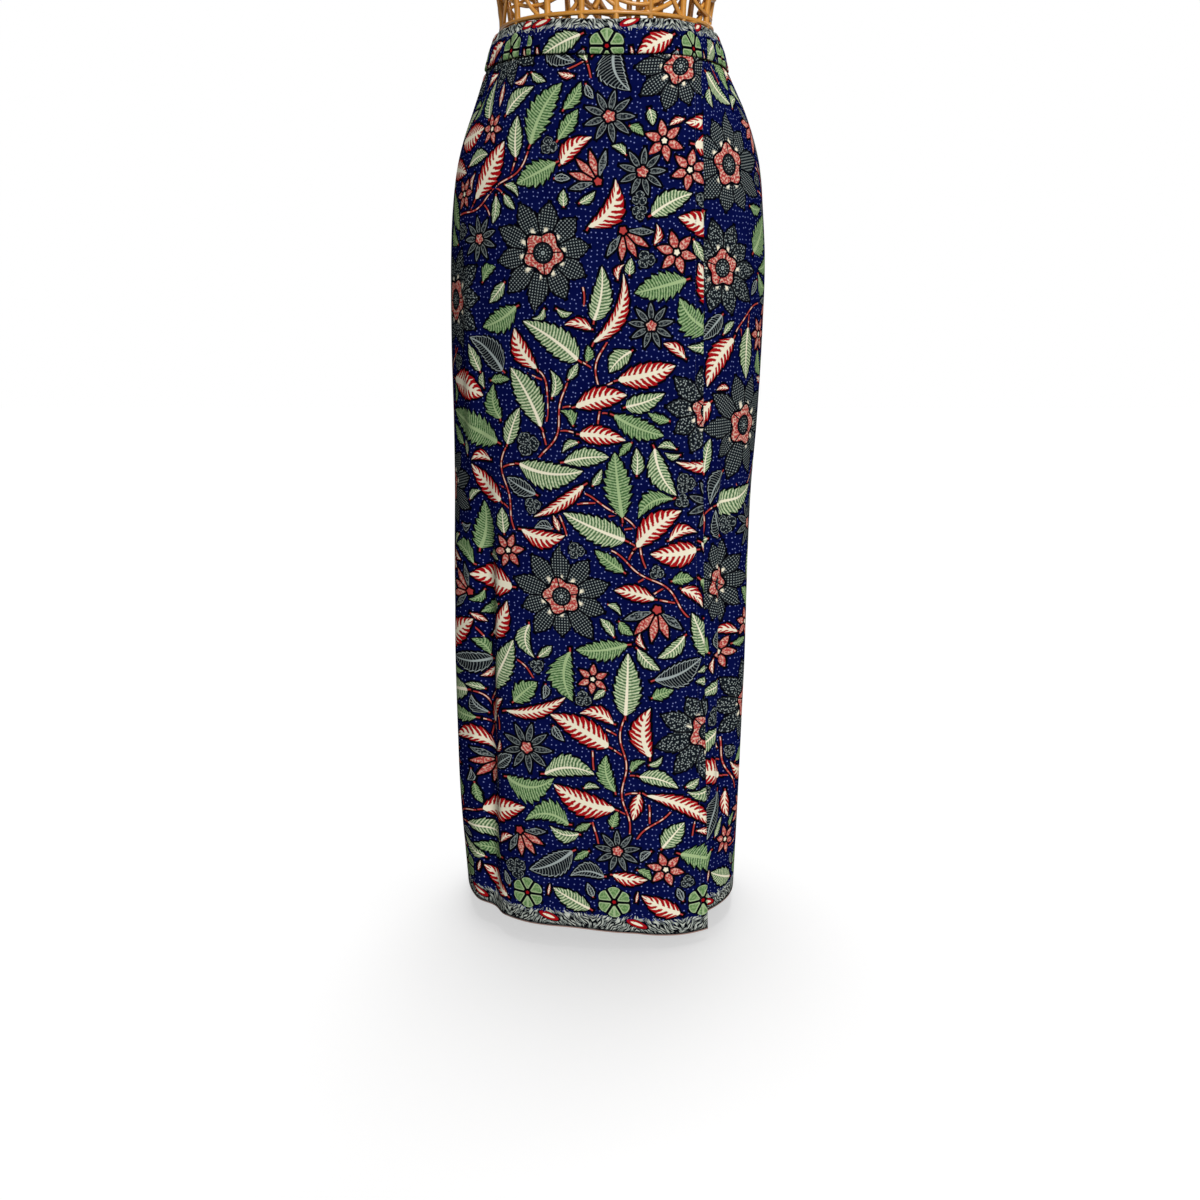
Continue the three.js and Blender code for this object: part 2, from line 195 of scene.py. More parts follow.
def fold_depth(angle, z):
    """The sum of the large folds, each a raised cosine across that eases in and out along z."""
    total = np.zeros(np.broadcast(angle, z).shape)
    for fold in FOLDS:
        middle = mix(fold["hem_angle"], fold["angle"], (z - HEM) / (WAIST - HEM))
        away = np.abs((angle - middle + 540) % 360 - 180) / fold["half_width"]
        bell = np.where(away < 1, (1 + np.cos(np.pi * away)) / 2, 0)
        run = (ease(fold["high"], fold["high"] - FOLD_RUN, z)
               * ease(fold["low"], fold["low"] + FOLD_RUN, z))
        total += fold["depth"] * bell * run
    return total


def band_top(angle):
    """The waistband's upper edge, which dips at the centre front."""
    front = np.cos(np.radians(angle)) > 0
    return WAIST + BAND_DIP * front * np.sin(np.radians(2 * angle)) ** 2


def overlap_edge(z):
    """The angle of the overlap's free edge, from how far it lies to the right of the middle."""
    x = read(OVERLAP_EDGE, "x", z)
    side, depth = read(FIGURE, "right", z), read(FIGURE, "front", z)
    square = read(FIGURE, "square", z)
    y = depth * (1 - (x / side) ** square) ** (1 / square)
    return np.degrees(np.arctan2(x, y))


def overlap_lift(angle, z):
    """The overlap climbs over the panel below it and stands off more and more towards the hem."""
    free_edge = overlap_edge(z)
    hidden_edge = free_edge - UNDERLAP
    step = ease(hidden_edge - LAP_CLIMB[0], hidden_edge - LAP_CLIMB[1], angle) * (CLOTH + SEAM)
    low = 1 - np.clip(z / WAIST, 0, 1)
    flare = ease(hidden_edge - FLARE_BEFORE, free_edge + FLARE_PAST, angle)
    return step + flare * OVERLAP_FLARE * low ** 2


def gathered(angle):
    """1 round the elastic and 0 across the flat front."""
    turn = (angle + 720) % 360
    start, end = ELASTIC
    return ease(start, start + ELASTIC_END, turn) * ease(end, end - ELASTIC_END, turn)


def gathers(angle, z):
    """Waves that the elastic draws in, each with its own fullness and length below the band."""
    turn = (angle + 720) % 360
    number = np.floor((turn - ELASTIC[0]) / GATHER_PITCH)
    full = 0.75 + 0.25 * np.sin(number * 2.4)
    length = GATHER_SHORTEST + GATHER_SPREAD * (0.5 + 0.5 * np.sin(number * 4.1 + 1))
    wave = (1 - np.cos(2 * np.pi * (turn - ELASTIC[0]) / GATHER_PITCH)) / 2
    below = band_top(angle) - BAND_HEIGHT - z
    return gathered(angle) * wave * full * (1 - ease(0, length, below))


def soft_waves(angle, z):
    """The slack of the cloth: long low swells, deeper where it hangs free below the hips."""
    wide = np.sin(np.radians(angle * 7 + 40 * np.sin(z * 7)))
    narrow = np.sin(np.radians(angle * 11 + 80 + 300 * z))
    return SWELL_DEPTH * (wide + narrow) * ease(*SWELL_HEIGHTS, z)


def round_points(radius, angle, z):
    """Points at a distance from the middle line, an angle and a height."""
    turn = np.radians(angle)
    return np.stack([radius * np.sin(turn), -radius * np.cos(turn), z], axis=-1)


def cloth_surface(angle, z, lift=None, ripple=0.0):
    """The outer face of the cloth: outline + folds + swells + lift + gathers."""
    radius = reach(FIGURE, angle, z) + fold_depth(angle, z) + soft_waves(angle, z)
    if lift is not None:
        radius = radius + lift(angle, z)
    return round_points(radius + ripple, angle, z)


# Lengths round the hips, by which the cloth is measured: the same threads are drawn together
# under the elastic, and lie flat across the front.
HIP = 0.750
ROUND = np.arange(-180.0, 360.1, 1.0)
FLAT_FRONT = 45
FULL_GATHER = 75


def lengths_along(path):
    """How far along a line of points each of them lies."""
    return np.concatenate([[0], np.cumsum(np.linalg.norm(np.diff(path, axis=0), axis=1))])


def girth(z):
    """Length along the outline from the centre front, at each angle of ROUND, at one height."""
    lengths = lengths_along(cloth_surface(ROUND, np.full_like(ROUND, z)))
    return lengths - np.interp(0, ROUND, lengths)


hip_girth = girth(HIP)


def threads(z):
    """The cloth's own coordinate at each angle of ROUND: true lengths across the flat front, and
    the hip's lengths where the cloth is gathered."""
    share = ease(FLAT_FRONT, FULL_GATHER, np.abs(ROUND))
    return mix(girth(z), hip_girth, share)


FACE = 0.003


class Cut:
    """A cut piece of cloth as a grid: its columns' and rows' places on the flat cloth."""

    def __init__(self, left, right, low, high, face=FACE):
        self.columns = round((right - left) / face)
        self.rows = round(abs(high - low) / face)
        self.u = np.linspace(left, right, self.columns + 1)
        self.v = np.linspace(high, low, self.rows + 1)
        self.left, self.right, self.low, self.high = left, right, low, high


def hang_panel(cut, first, last, hem, lift=None, ripple=None, tuck=SEAM_TUCK):
    """The grid of a panel's points. A row at height z runs from the angle first(z) to last(z),
    its columns evenly spaced on the threads, and the last row follows the hem. The first row lies
    behind the waistband: near the seam the cloth is tucked in, its lift is pressed flat, and its
    gathers are as shallow as the band's."""
    share = (cut.u - cut.left) / (cut.right - cut.left)
    angle = np.empty((cut.rows + 1, cut.columns + 1))
    nominal = np.linspace(PANEL_TOP - SEAM, HEM, cut.rows + 1)
    for row, z in enumerate(nominal):
        along = threads(z)
        ends = np.interp([first(z), last(z)], ROUND, along)
        angle[row] = np.interp(mix(ends[0], ends[1], share), along, ROUND)
    down = np.linspace(0, 1, cut.rows + 1)[:, None]
    z = mix(band_top(angle) - BAND_HEIGHT - SEAM + SEAM_RISE, hem(angle), down)
    at_seam = ease(SEAM_RUN, 0, band_top(angle) - BAND_HEIGHT - SEAM - z)
    depth = mix(GATHER_DEPTH, BAND_GATHER_DEPTH, at_seam)
    rippled = depth * gathers(angle, z) * (1 if ripple is None else ripple(angle, z))
    lifted = 0 if lift is None else lift(angle, z)
    pressed = np.minimum(lifted, SEAM_LIFT) - lifted - tuck
    return cloth_surface(angle, z, lift, rippled + pressed * at_seam)


# ---------------------------------------------------------------------------------------------
# The print: navy ground with fine dots, scattered flowers and leaves on thin stems, each with a
# dark outline, and along the cloth's edge a border of bristly fern with a row of green flowers.
# Motifs are drawn by formula in their own coordinates, which the faces of the cloth carry.
NAVY = (0.0012, 0.0026, 0.043, 1)
NAVY_WORN = (0.0030, 0.0060, 0.062, 1)
INK_BLACK = (0.0014, 0.0015, 0.0035, 1)
DOT_BLUE = (0.20, 0.24, 0.55, 1)
RED = (0.36, 0.006, 0.009, 1)
CREAM = (0.84, 0.78, 0.60, 1)
CORAL = (0.44, 0.048, 0.045, 1)
GREEN = (0.110, 0.225, 0.075, 1)
DEEP_GREEN = (0.020, 0.075, 0.026, 1)
LIME = (0.36, 0.48, 0.24, 1)
PALE_GREEN = (0.44, 0.56, 0.32, 1)
SLATE = (0.007, 0.010, 0.014, 1)
GREY = (0.34, 0.39, 0.38, 1)
FERN_GREY = (0.24, 0.27, 0.25, 1)
BRISTLE = (0.56, 0.59, 0.52, 1)
EDGE_THREAD = (0.62, 0.40, 0.34, 1)
INSIDE_NAVY = (0.012, 0.016, 0.08, 1)
INSIDE_PATCH = (0.05, 0.07, 0.06, 1)
DOT_PITCH_MM = 5.5
DOT_SIZE = 0.115
OUTLINE_MM = 2.6
OUTLINE = OUTLINE_MM / 1000
STALK_MM = 5
STALK_SHARE = 0.08
STALK_HALF_MM = 0.8
STIPPLE_MM = 2.9
STIPPLE_SIZE = 0.215
SPOTS_EACH_MM = 0.34
SPOT_SIZE = 0.225
SPOTTED_FROM = 0.45
PARTING_MM = 1.0
GREEN_PARTING_MM = 0.45
CLOVER_JOINED_MM = 9
STEM_HALF_MM = 0.85
STEM_OUTLINE_MM = 1.5
SOFT_MM = 0.3
BORDER_PITCH = 0.094
BORDER_STRIP_MM = 17.5
BORDER_HEIGHT = 0.056
BORDER_FLOWER_HEIGHT = 0.036
BORDER_FLOWER_RADIUS = 0.0175
GROUND, LEAF, FLOWER, STEM = range(4)
RED_LEAF, GREEN_LEAF, PALE_LEAF, GREY_LEAF = range(4)
GREAT_FLOWER, STAR_FLOWER, SPIKY_FLOWER, GREEN_FLOWER, CLOVER, LILY = range(6)


class Ink:
    """A number or colour in a material's node tree. Arithmetic on it makes Math nodes."""

    def __init__(self, socket):
        self.socket = socket

    def __add__(self, other):
        return arithmetic("ADD", self, other)

    __radd__ = __add__

    def __sub__(self, other):
        return arithmetic("SUBTRACT", self, other)

    def __rsub__(self, other):
        return arithmetic("SUBTRACT", other, self)

    def __mul__(self, other):
        return arithmetic("MULTIPLY", self, other)

    __rmul__ = __mul__

    def __truediv__(self, other):
        return arithmetic("DIVIDE", self, other)

    def __rtruediv__(self, other):
        return arithmetic("DIVIDE", other, self)

    def __pow__(self, other):
        return arithmetic("POWER", self, other)

    def __abs__(self):
        return arithmetic("ABSOLUTE", self)


def feed(tree, slot, value):
    """Links an Ink to a socket, or sets the socket to a plain value."""
    if isinstance(value, Ink):
        tree.links.new(value.socket, slot)
    else:
        slot.default_value = value


def arithmetic(operation, *values):
    """One Math node of Inks and numbers."""
    tree = next(value for value in values if isinstance(value, Ink)).socket.id_data
    node = tree.nodes.new("ShaderNodeMath")
    node.operation = operation
    for slot, value in zip(node.inputs, values):
        feed(tree, slot, value)
    return Ink(node.outputs[0])


def clamp(value):
    """A number kept between 0 and 1."""
    return arithmetic("MINIMUM", arithmetic("MAXIMUM", value, 0.0), 1.0)


def fraction(value):
    """What is over the whole number below."""
    return arithmetic("FRACT", value)


def sine(value):
    """The sine of a number in radians."""
    return arithmetic("SINE", value)


def is_sort(value, number):
    """1 where a whole number is the one asked for."""
    return arithmetic("COMPARE", value, number, 0.4)


def above(value, edge, soft):
    """0 where value is below edge and 1 where it is above, over a soft width."""
    tree = value.socket.id_data
    node = tree.nodes.new("ShaderNodeMapRange")
    feed(tree, node.inputs["Value"], value - edge)
    feed(tree, node.inputs["From Min"], soft * -0.5)
    feed(tree, node.inputs["From Max"], soft * 0.5)
    return Ink(node.outputs["Result"])


def paint(under, colour, mask):
    """A colour laid over another where mask is 1."""
    tree = mask.socket.id_data
    node = tree.nodes.new("ShaderNodeMix")
    node.data_type = "RGBA"
    feed(tree, node.inputs["Factor"], mask)
    feed(tree, node.inputs[6], under)
    feed(tree, node.inputs[7], colour)
    return Ink(node.outputs[2])


def choose(number, choices):
    """The colour whose place in the list is number."""
    chosen = choices[0]
    for position, choice in enumerate(choices[1:], start=1):
        if choice != choices[0]:
            chosen = paint(chosen, choice, is_sort(number, position))
    return chosen


def fields(tree, kind, name):
    """The parts of a UV map or of an attribute of the cloth."""
    if kind == "uv":
        source = tree.nodes.new("ShaderNodeUVMap")
        source.uv_map = name
    else:
        source = tree.nodes.new("ShaderNodeAttribute")
        source.attribute_name = name
    parts = tree.nodes.new("ShaderNodeSeparateXYZ")
    tree.links.new(source.outputs["UV" if kind == "uv" else "Vector"], parts.inputs[0])
    return [Ink(output) for output in parts.outputs]


def place(tree, x, y, z=0.0):
    """A point for a texture from three numbers."""
    node = tree.nodes.new("ShaderNodeCombineXYZ")
    for slot, value in zip(node.inputs, (x, y, z)):
        feed(tree, slot, value)
    return Ink(node.outputs[0])


def cloud(tree, point, scale, detail=2.0):
    """Noise from 0 to 1 at a point."""
    node = tree.nodes.new("ShaderNodeTexNoise")
    feed(tree, node.inputs["Vector"], point)
    node.inputs["Scale"].default_value = scale
    node.inputs["Detail"].default_value = detail
    return Ink(node.outputs["Fac"])


def cells(tree, point, scale, jitter=0.8):
    """Distance to the nearest of scattered points, in cells."""
    node = tree.nodes.new("ShaderNodeTexVoronoi")
    node.voronoi_dimensions = "2D"
    feed(tree, node.inputs["Vector"], point)
    node.inputs["Scale"].default_value = scale
    node.inputs["Randomness"].default_value = jitter
    return Ink(node.outputs["Distance"])


def batik_ground(tree):
    """Navy with scattered dots. Along the cloth's edge, blades of fern slant away from small red
    eyes, and the edge itself is a pale pink thread."""
    u, v, _ = fields(tree, "uv", "cloth")
    u_mm, v_mm = u * 1000, v * 1000
    point = place(tree, u_mm, v_mm)
    navy = paint(NAVY, NAVY_WORN, above(cloud(tree, point, 0.03, 5.0), 0.52, 0.5))
    dots = cells(tree, point, 1 / DOT_PITCH_MM, 0.6)
    ground = paint(navy, DOT_BLUE, above(DOT_SIZE - dots, 0, 0.05))
    along = (fraction(u / BORDER_PITCH + 0.25) - 0.5) * (BORDER_PITCH * 1000)
    blade = abs(along) * 0.8 + v_mm * 0.75 + cloud(tree, point, 0.09, 1.0) * 10
    blades = cloud(tree, place(tree, blade * 0.66, (v_mm - abs(along)) * 0.10), 1.0, 1.0)
    fern = paint(INK_BLACK, FERN_GREY, above(blades, 0.50, 0.10))
    fern = paint(fern, BRISTLE, above(blades, 0.60, 0.08))
    fern = paint(fern, INK_BLACK, above(3.4 - v_mm, 0, 1.6) * 0.85)
    inside = above((blades - 0.5) * 26 + BORDER_STRIP_MM - v_mm, 0, 1.2)
    rise = v_mm - 12 + along * 0.30
    eye = 1 - (along / 10.5) ** 2 - (rise / 4.0) ** 2
    fern = paint(fern, INK_BLACK, above(eye, -0.45, 0.2))
    fern = paint(fern, RED, above(eye, 0, 0.15))
    fern = paint(fern, CREAM, above(eye - abs(rise) * 0.14, 0.60, 0.1))
    printed = paint(ground, fern, inside)
    return paint(printed, EDGE_THREAD, above(1.1 - v_mm, 0, 0.5)), point


def leaf_print(tree):
    """A leaf along p from 0 to 1: half-width w sin(pi p^a)^b, toothed towards the tip, with veins
    that leave the rib square and sweep to the tip, and a short stalk."""
    ground, point = batik_ground(tree)
    where, q, _ = fields(tree, "uv", "motif")
    style, veins, size_mm = fields(tree, "attribute", "make")
    seed, bend, width = fields(tree, "attribute", "mood")
    tooth, tooth_count, belly = fields(tree, "attribute", "form")
    p = clamp(where)
    beside = q - bend * p * (1 - p) * 4
    side = abs(beside)
    fuller = bend * arithmetic("SIGN", beside) * LEAF_SKEW + 1
    full = width * fuller * sine(p ** belly * math.pi) ** LEAF_ROUND
    half = full * (1 - tooth * (1 - fraction(p * tooth_count + seed)))
    inset_mm = (half - side - abs(where - p)) * size_mm
    stalk_length_mm = arithmetic("MINIMUM", size_mm * STALK_SHARE, STALK_MM)
    along_mm = where * size_mm
    stalk_mm = arithmetic("MINIMUM", STALK_HALF_MM - side * size_mm, along_mm + stalk_length_mm)
    stalk_mm = arithmetic("MINIMUM", stalk_mm, 3 - along_mm)
    share = side / arithmetic("MAXIMUM", full, 0.01)
    wobble = cloud(tree, point, 0.30, 2.0) - 0.5
    vein = fraction(p * veins - share ** 1.6 * 1.5 + wobble * 0.5 + seed)
    tent = abs(vein - 0.5) * 2
    barb = above(0.66 - share ** 1.4 * 0.80 - tent, 0, 0.2)
    fine = above(0.42 - tent, 0, 0.25)
    stout = is_sort(style, RED_LEAF) * 0.09 + 0.09
    rib = above(width * stout * (1.2 - p) + 0.005 - side, 0, 0.010)
    mottled = cloud(tree, point, 0.38, 3.0)
    base = choose(style, [RED, GREEN, PALE_GREEN, SLATE])
    base = paint(base, choose(style, [RED, LIME, GREEN, SLATE]), above(mottled, 0.50, 0.14) * 0.75)
    body = paint(base, choose(style, [CREAM, DEEP_GREEN, DEEP_GREEN, INK_BLACK]), fine * 0.8)
    between_veins = choose(style, [CREAM, PALE_GREEN, CREAM, GREY])
    body = paint(body, between_veins, above(tent, 0.80, 0.2) * 0.6)
    body = paint(body, paint(RED, CREAM, barb), is_sort(style, RED_LEAF))
    body = paint(body, choose(style, [CREAM, LIME, CREAM, GREY]), rib)
    body = paint(body, GREY, above(0.8 - inset_mm, 0, SOFT_MM) * is_sort(style, GREY_LEAF))
    edge_mm = arithmetic("MAXIMUM", inset_mm, stalk_mm)
    shown = paint(ground, INK_BLACK, above(edge_mm, -OUTLINE_MM, SOFT_MM))
    shown = paint(shown, CORAL, above(stalk_mm, 0, SOFT_MM))
    return paint(shown, body, above(inset_mm, 0, SOFT_MM)), point


def flower_print(tree):
    """A flower of radius 1. Each petal is w sin(pi x^g)^b wide, x running from the heart to its
    tip, toothed a little, and petals differ in length. The smaller b, the blunter the tip. A lily
    has only the petals of a fan."""
    ground, point = batik_ground(tree)
    p, q, _ = fields(tree, "uv", "motif")
    style, petals, size_mm = fields(tree, "attribute", "make")
    seed, heart, peak = fields(tree, "attribute", "mood")
    width, tooth, fan = fields(tree, "attribute", "form")
    radius = (p * p + q * q) ** 0.5
    bearing = arithmetic("ARCTAN2", q, p)
    turn = bearing / math.tau * petals + 0.5
    number = arithmetic("FLOOR", turn)
    aside = (fraction(turn) - 0.5) * math.tau / petals
    lot = fraction(sine(number * 12.9 + seed * 78.2) * 437.5)
    along = radius * arithmetic("COSINE", aside)
    across = abs(radius * sine(aside))
    start = heart * 0.75
    tip = 1 - lot * tooth * PETAL_UNEVEN
    x = clamp((along - start) / (tip - start))
    blunt = is_sort(style, GREEN_FLOWER) * (BLUNT_PETAL - SHARP_PETAL) + SHARP_PETAL
    full = width * sine(x ** peak * math.pi) ** blunt
    half = full * (1 - tooth * (1 - fraction(x * 6)))
    inset = arithmetic("MINIMUM", half - across, tip - radius + 0.01)
    is_clover = is_sort(style, CLOVER)
    open_mm = (fan * math.pi - abs(bearing)) * radius * size_mm
    between_mm = radius * sine(math.pi / petals - abs(aside)) * size_mm
    parted_mm = between_mm - PARTING_MM - is_sort(style, GREEN_FLOWER) * GREEN_PARTING_MM
    parted_mm = parted_mm + is_clover * CLOVER_JOINED_MM
    inset_mm = arithmetic("MINIMUM", arithmetic("MINIMUM", inset * size_mm, open_mm), parted_mm)
    row = abs(fraction(along * size_mm / STIPPLE_MM) - 0.5)
    column = abs(fraction(across * size_mm / STIPPLE_MM + 0.5) - 0.5)
    stipple = above(STIPPLE_SIZE - (row * row + column * column) ** 0.5, 0, 0.12)
    mottled = cloud(tree, point, 0.42, 3.0)
    spots = above(SPOT_SIZE - cells(tree, point, SPOTS_EACH_MM, 0.9), 0, 0.10)
    is_great = is_sort(style, GREAT_FLOWER)
    pattern = above(mottled, 0.53, 0.12) * (0.55 - is_sort(style, SPIKY_FLOWER) * 0.25)
    dotted = stipple + above(seed, SPOTTED_FROM, 0.01) * (spots - stipple)
    pattern = pattern + is_great * (dotted - pattern)
    pattern = pattern + is_clover * (spots * 0.8 - pattern)
    inner = is_sort(style, LILY) * above(1.6 - abs(number), 0, 0.1)
    petal = choose(style, [SLATE, CORAL, SLATE, GREEN, SLATE, SLATE])
    petal = paint(petal, CORAL, inner)
    fleck = choose(style, [GREY, CREAM, GREY, LIME, GREY, GREY])
    petal = paint(petal, paint(fleck, CREAM, inner), pattern)
    rim = choose(style, [GREY, CORAL, GREY, PALE_GREEN, GREY, GREY])
    rim_mm = is_sort(style, GREEN_FLOWER) * 0.6 + 0.6
    rimmed = above(rim_mm - inset_mm, 0, SOFT_MM) * above(x, 0.12, 0.1) * 0.7
    petal = paint(petal, paint(rim, CORAL, inner), rimmed * (1 - is_great * 0.85))
    claw = above(0.034 - across, 0, 0.016) * above(0.26 - x, 0, 0.08) * above(lot, 0.25, 0.05)
    petal = paint(petal, CREAM, claw * is_great)
    shown = paint(ground, INK_BLACK, above(inset_mm, -OUTLINE_MM, SOFT_MM))
    shown = paint(shown, petal, above(inset_mm, 0, SOFT_MM))
    ragged = heart * (0.88 + 0.12 * sine(bearing * 5 + seed * 9))
    heart_mm = (ragged - radius) * size_mm
    core = choose(style, [CORAL, CREAM, CORAL, RED, GREY, CORAL])
    core = paint(core, CREAM, above(mottled, 0.54, 0.1) * 0.6 * (1 - above(style, 2.5, 0.1)))
    hole_mm = (heart * 0.46 - radius) * size_mm
    parting = abs(fraction(bearing / math.tau * 4 + seed) - 0.5) * radius * size_mm * 1.57
    ring = paint(core, INK_BLACK, above(0.7 - parting, 0, SOFT_MM))
    hollow = paint(ring, INK_BLACK, above(hole_mm, -1.2, SOFT_MM))
    hollow = paint(hollow, SLATE, above(hole_mm, 0, SOFT_MM))
    hollow = paint(hollow, GREY, above(hole_mm, 0.8, SOFT_MM) * stipple)
    core = paint(core, hollow, is_great)
    shown = paint(shown, INK_BLACK, above(heart_mm, -OUTLINE_MM, SOFT_MM) * (1 - is_clover))
    return paint(shown, core, above(heart_mm, 0, SOFT_MM)), point


def stem_print(tree):
    """A stem along p, q to its side, both in millimetres: coral, streaked with cream."""
    ground, point = batik_ground(tree)
    p, q, _ = fields(tree, "uv", "motif")
    streak = cloud(tree, place(tree, p * 0.11, 0.3), 1.0, 2.0)
    inset_mm = STEM_HALF_MM - abs(q) + 0.9 * (streak - 0.5)
    shown = paint(ground, INK_BLACK, above(inset_mm, -STEM_OUTLINE_MM, SOFT_MM))
    bark = paint(CORAL, CREAM, above(streak, 0.50, 0.05) * above(0.45 - abs(q), 0, 0.3) * 0.9)
    return paint(shown, bark, above(inset_mm, 0, SOFT_MM)), point


def wrong_side(tree):
    """The inside of the cloth: the print shows through, duller and darker."""
    u, v, _ = fields(tree, "uv", "cloth")
    point = place(tree, u * 1000, v * 1000)
    patches = above(cloud(tree, point, 0.055, 2.0), 0.56, 0.05)
    return paint(INSIDE_NAVY, INSIDE_PATCH, patches * 0.8), point


def new_finish(name, constants):
    """A material, its node tree and its shader, with constants set on the shader's own sockets."""
    material = bpy.data.materials.new(name)
    material.use_nodes = True
    shader = material.node_tree.nodes["Principled BSDF"]
    for socket, value in constants.items():
        shader.inputs[socket].default_value = value
    return material, material.node_tree, shader


def roughen(tree, shader, height, strength, distance):
    """Bumps in the shader's surface."""
    bumps = tree.nodes.new("ShaderNodeBump")
    bumps.inputs["Strength"].default_value = strength
    bumps.inputs["Distance"].default_value = distance
    feed(tree, bumps.inputs["Height"], height)
    tree.links.new(bumps.outputs["Normal"], shader.inputs["Normal"])


def cotton(name, pattern, roughness=0.85):
    """Plain-woven cotton: the pattern's colours, matt, with a fine bump of threads."""
    constants = {"Roughness": roughness, "Specular IOR Level": 0.0}
    material, tree, shader = new_finish(name, constants)
    colour, point = pattern(tree)
    feed(tree, shader.inputs["Base Color"], colour)
    roughen(tree, shader, cloud(tree, point, 1.6, 2.0), strength=0.5, distance=0.0003)
    return material


LEAF_BELLIES = (0.62, 1.0)
LEAF_ROUND = 0.85
LEAF_SKEW = 1.8
PETAL_UNEVEN = 1.1
SHARP_PETAL = 0.8
BLUNT_PETAL = 0.42

PRINTS = [
    cotton("cotton_ground", batik_ground),
    cotton("cotton_leaves", leaf_print),
    cotton("cotton_flowers", flower_print),
    cotton("cotton_stems", stem_print),
    cotton("cotton_inside", wrong_side, 0.9),
]


class Print:
    """Motifs laid out on a cut piece: for each face its kind, its corners' places in the motif,
    and what the motif is like. A motif goes only where no other is."""

    CORNERS = ((0, 0), (1, 0), (1, 1), (0, 1))
    CLEARANCE = 0.0014
    SHARED_OUTLINE = 0.7
    PAST_EDGE = 0.7
    STEM_STEP = 0.0025
    STEM_CORE = 0.0008
    STEM_FACES = 0.0020

    def __init__(self, cut, seed):
        self.cut, self.draw, self.on_stem = cut, np.random.default_rng(seed), False
        shape = (cut.rows, cut.columns)
        self.kind = np.zeros(shape, np.int32)
        self.body = np.zeros(shape, bool)
        self.motif = np.zeros(shape + (4, 2), np.float32)
        self.facts = {name: np.zeros(shape + (3,), np.float32) for name in ("make", "mood", "form")}
        self.middle_u = (cut.u[1:] + cut.u[:-1]) / 2
        self.middle_v = (cut.v[1:] + cut.v[:-1]) / 2

    def window(self, u, v, size):
        """The rows and columns of faces within a distance of a place."""
        columns = np.nonzero(np.abs(self.middle_u - u) < size)[0]
        rows = np.nonzero(np.abs(self.middle_v - v) < size)[0]
        if not len(columns) or not len(rows):
            return None
        return slice(rows[0], rows[-1] + 1), slice(columns[0], columns[-1] + 1)

    def corners(self, rows, columns):
        """The cloth places of the corners of faces, one row of four for each."""
        return np.stack([
            np.stack([self.cut.u[columns + right], self.cut.v[rows + down]], axis=-1)
            for down, right in self.CORNERS
        ], axis=1)

    def settle(self, kind, rows, columns, local, facts):
        """Gives faces to a motif."""
        self.kind[rows, columns] = kind
        self.motif[rows, columns] = local
        for name, values in facts.items():
            self.facts[name][rows, columns] = values

    def taken(self, u, v):
        """Whether another flower or leaf already lies at a place."""
        cut = self.cut
        column = round((u - cut.left) / (cut.right - cut.left) * cut.columns - 0.5)
        row = round((cut.v[0] - v) / (cut.v[0] - cut.v[-1]) * cut.rows - 0.5)
        if not (0 <= column < cut.columns and 0 <= row < cut.rows):
            return False
        return self.body[row, column] and self.kind[row, column] != STEM

    def stamp(self, kind, u, v, turn, size, reach_out, inside_by, facts):
        """Puts a motif at a place if no other's body lies there; neighbours share their outlines.
        inside_by(p, q) says how far inside it a point lies, as a share of its size. A sprig may
        cover the end of its stem."""
        middle = 0.5 * size * (kind == LEAF)
        if self.taken(u + middle * math.cos(turn), v + middle * math.sin(turn)):
            return False
        window = self.window(u, v, reach_out)
        if window is None:
            return False
        along = np.array([math.cos(turn), math.sin(turn)])
        across = np.array([-along[1], along[0]])
        offset_u = self.middle_u[window[1]][None, :] - u
        offset_v = self.middle_v[window[0]][:, None] - v
        p = (offset_u * along[0] + offset_v * along[1]) / size
        q = (offset_u * across[0] + offset_v * across[1]) / size
        inside = inside_by(p, q) * size
        free = ~self.body[window]
        if self.on_stem:
            free |= self.kind[window] == STEM
        shape = inside > -self.CLEARANCE
        if not shape.any() or not free[shape].all():
            return False
        shared = inside > -self.SHARED_OUTLINE * OUTLINE
        whole = inside > -OUTLINE - self.CLEARANCE / 2
        claimed = free & (shared | (self.kind[window] == GROUND) & whole)
        self.body[window] |= shape
        rows, columns = np.nonzero(claimed)
        rows, columns = rows + window[0].start, columns + window[1].start
        offset = self.corners(rows, columns) - (u, v)
        local = np.stack([offset @ along, offset @ across], axis=-1) / size
        self.settle(kind, rows, columns, local, facts)
        return True

    def leaf(self, style, u, v, turn, size, width, bend=0.0):
        """A leaf whose stalk end is at u, v."""
        half, belly = width / 2, self.draw.uniform(*LEAF_BELLIES)
        vein_gap, tooth_gap, tooth = VEINS[style]
        facts = {
            "make": (style, max(4, round(size / vein_gap)), size * 1000),
            "mood": (self.draw.random(), bend, half),
            "form": (tooth, max(3, round(size / tooth_gap)), belly),
        }

        def inside_by(p, q):
            along = np.clip(p, 0, 1)
            full = half * np.sin(np.pi * along ** belly) ** LEAF_ROUND
            beside = q - bend * along * (1 - along) * 4
            skewed = full * (1 + LEAF_SKEW * bend * np.sign(beside))
            blade = skewed - np.abs(beside) - np.abs(p - along)
            stalk_length = min(STALK_MM / 1000 / size, STALK_SHARE)
            stalk = np.minimum(STALK_HALF_MM / 1000 / size - np.abs(q), p + stalk_length)
            return np.maximum(blade, np.where(p < 0, stalk, -1))

        return self.stamp(LEAF, u, v, turn, size, size * 1.05 + 0.006, inside_by, facts)

    def flower(self, style, u, v, turn, size, sort):
        """A flower of a given radius round u, v, its fan of petals open towards turn."""
        facts = {
            "make": (style, sort["count"], size * 1000),
            "mood": (self.draw.random(), sort["heart"], sort["peak"]),
            "form": (sort["width"], sort["tooth"], sort["fan"]),
        }

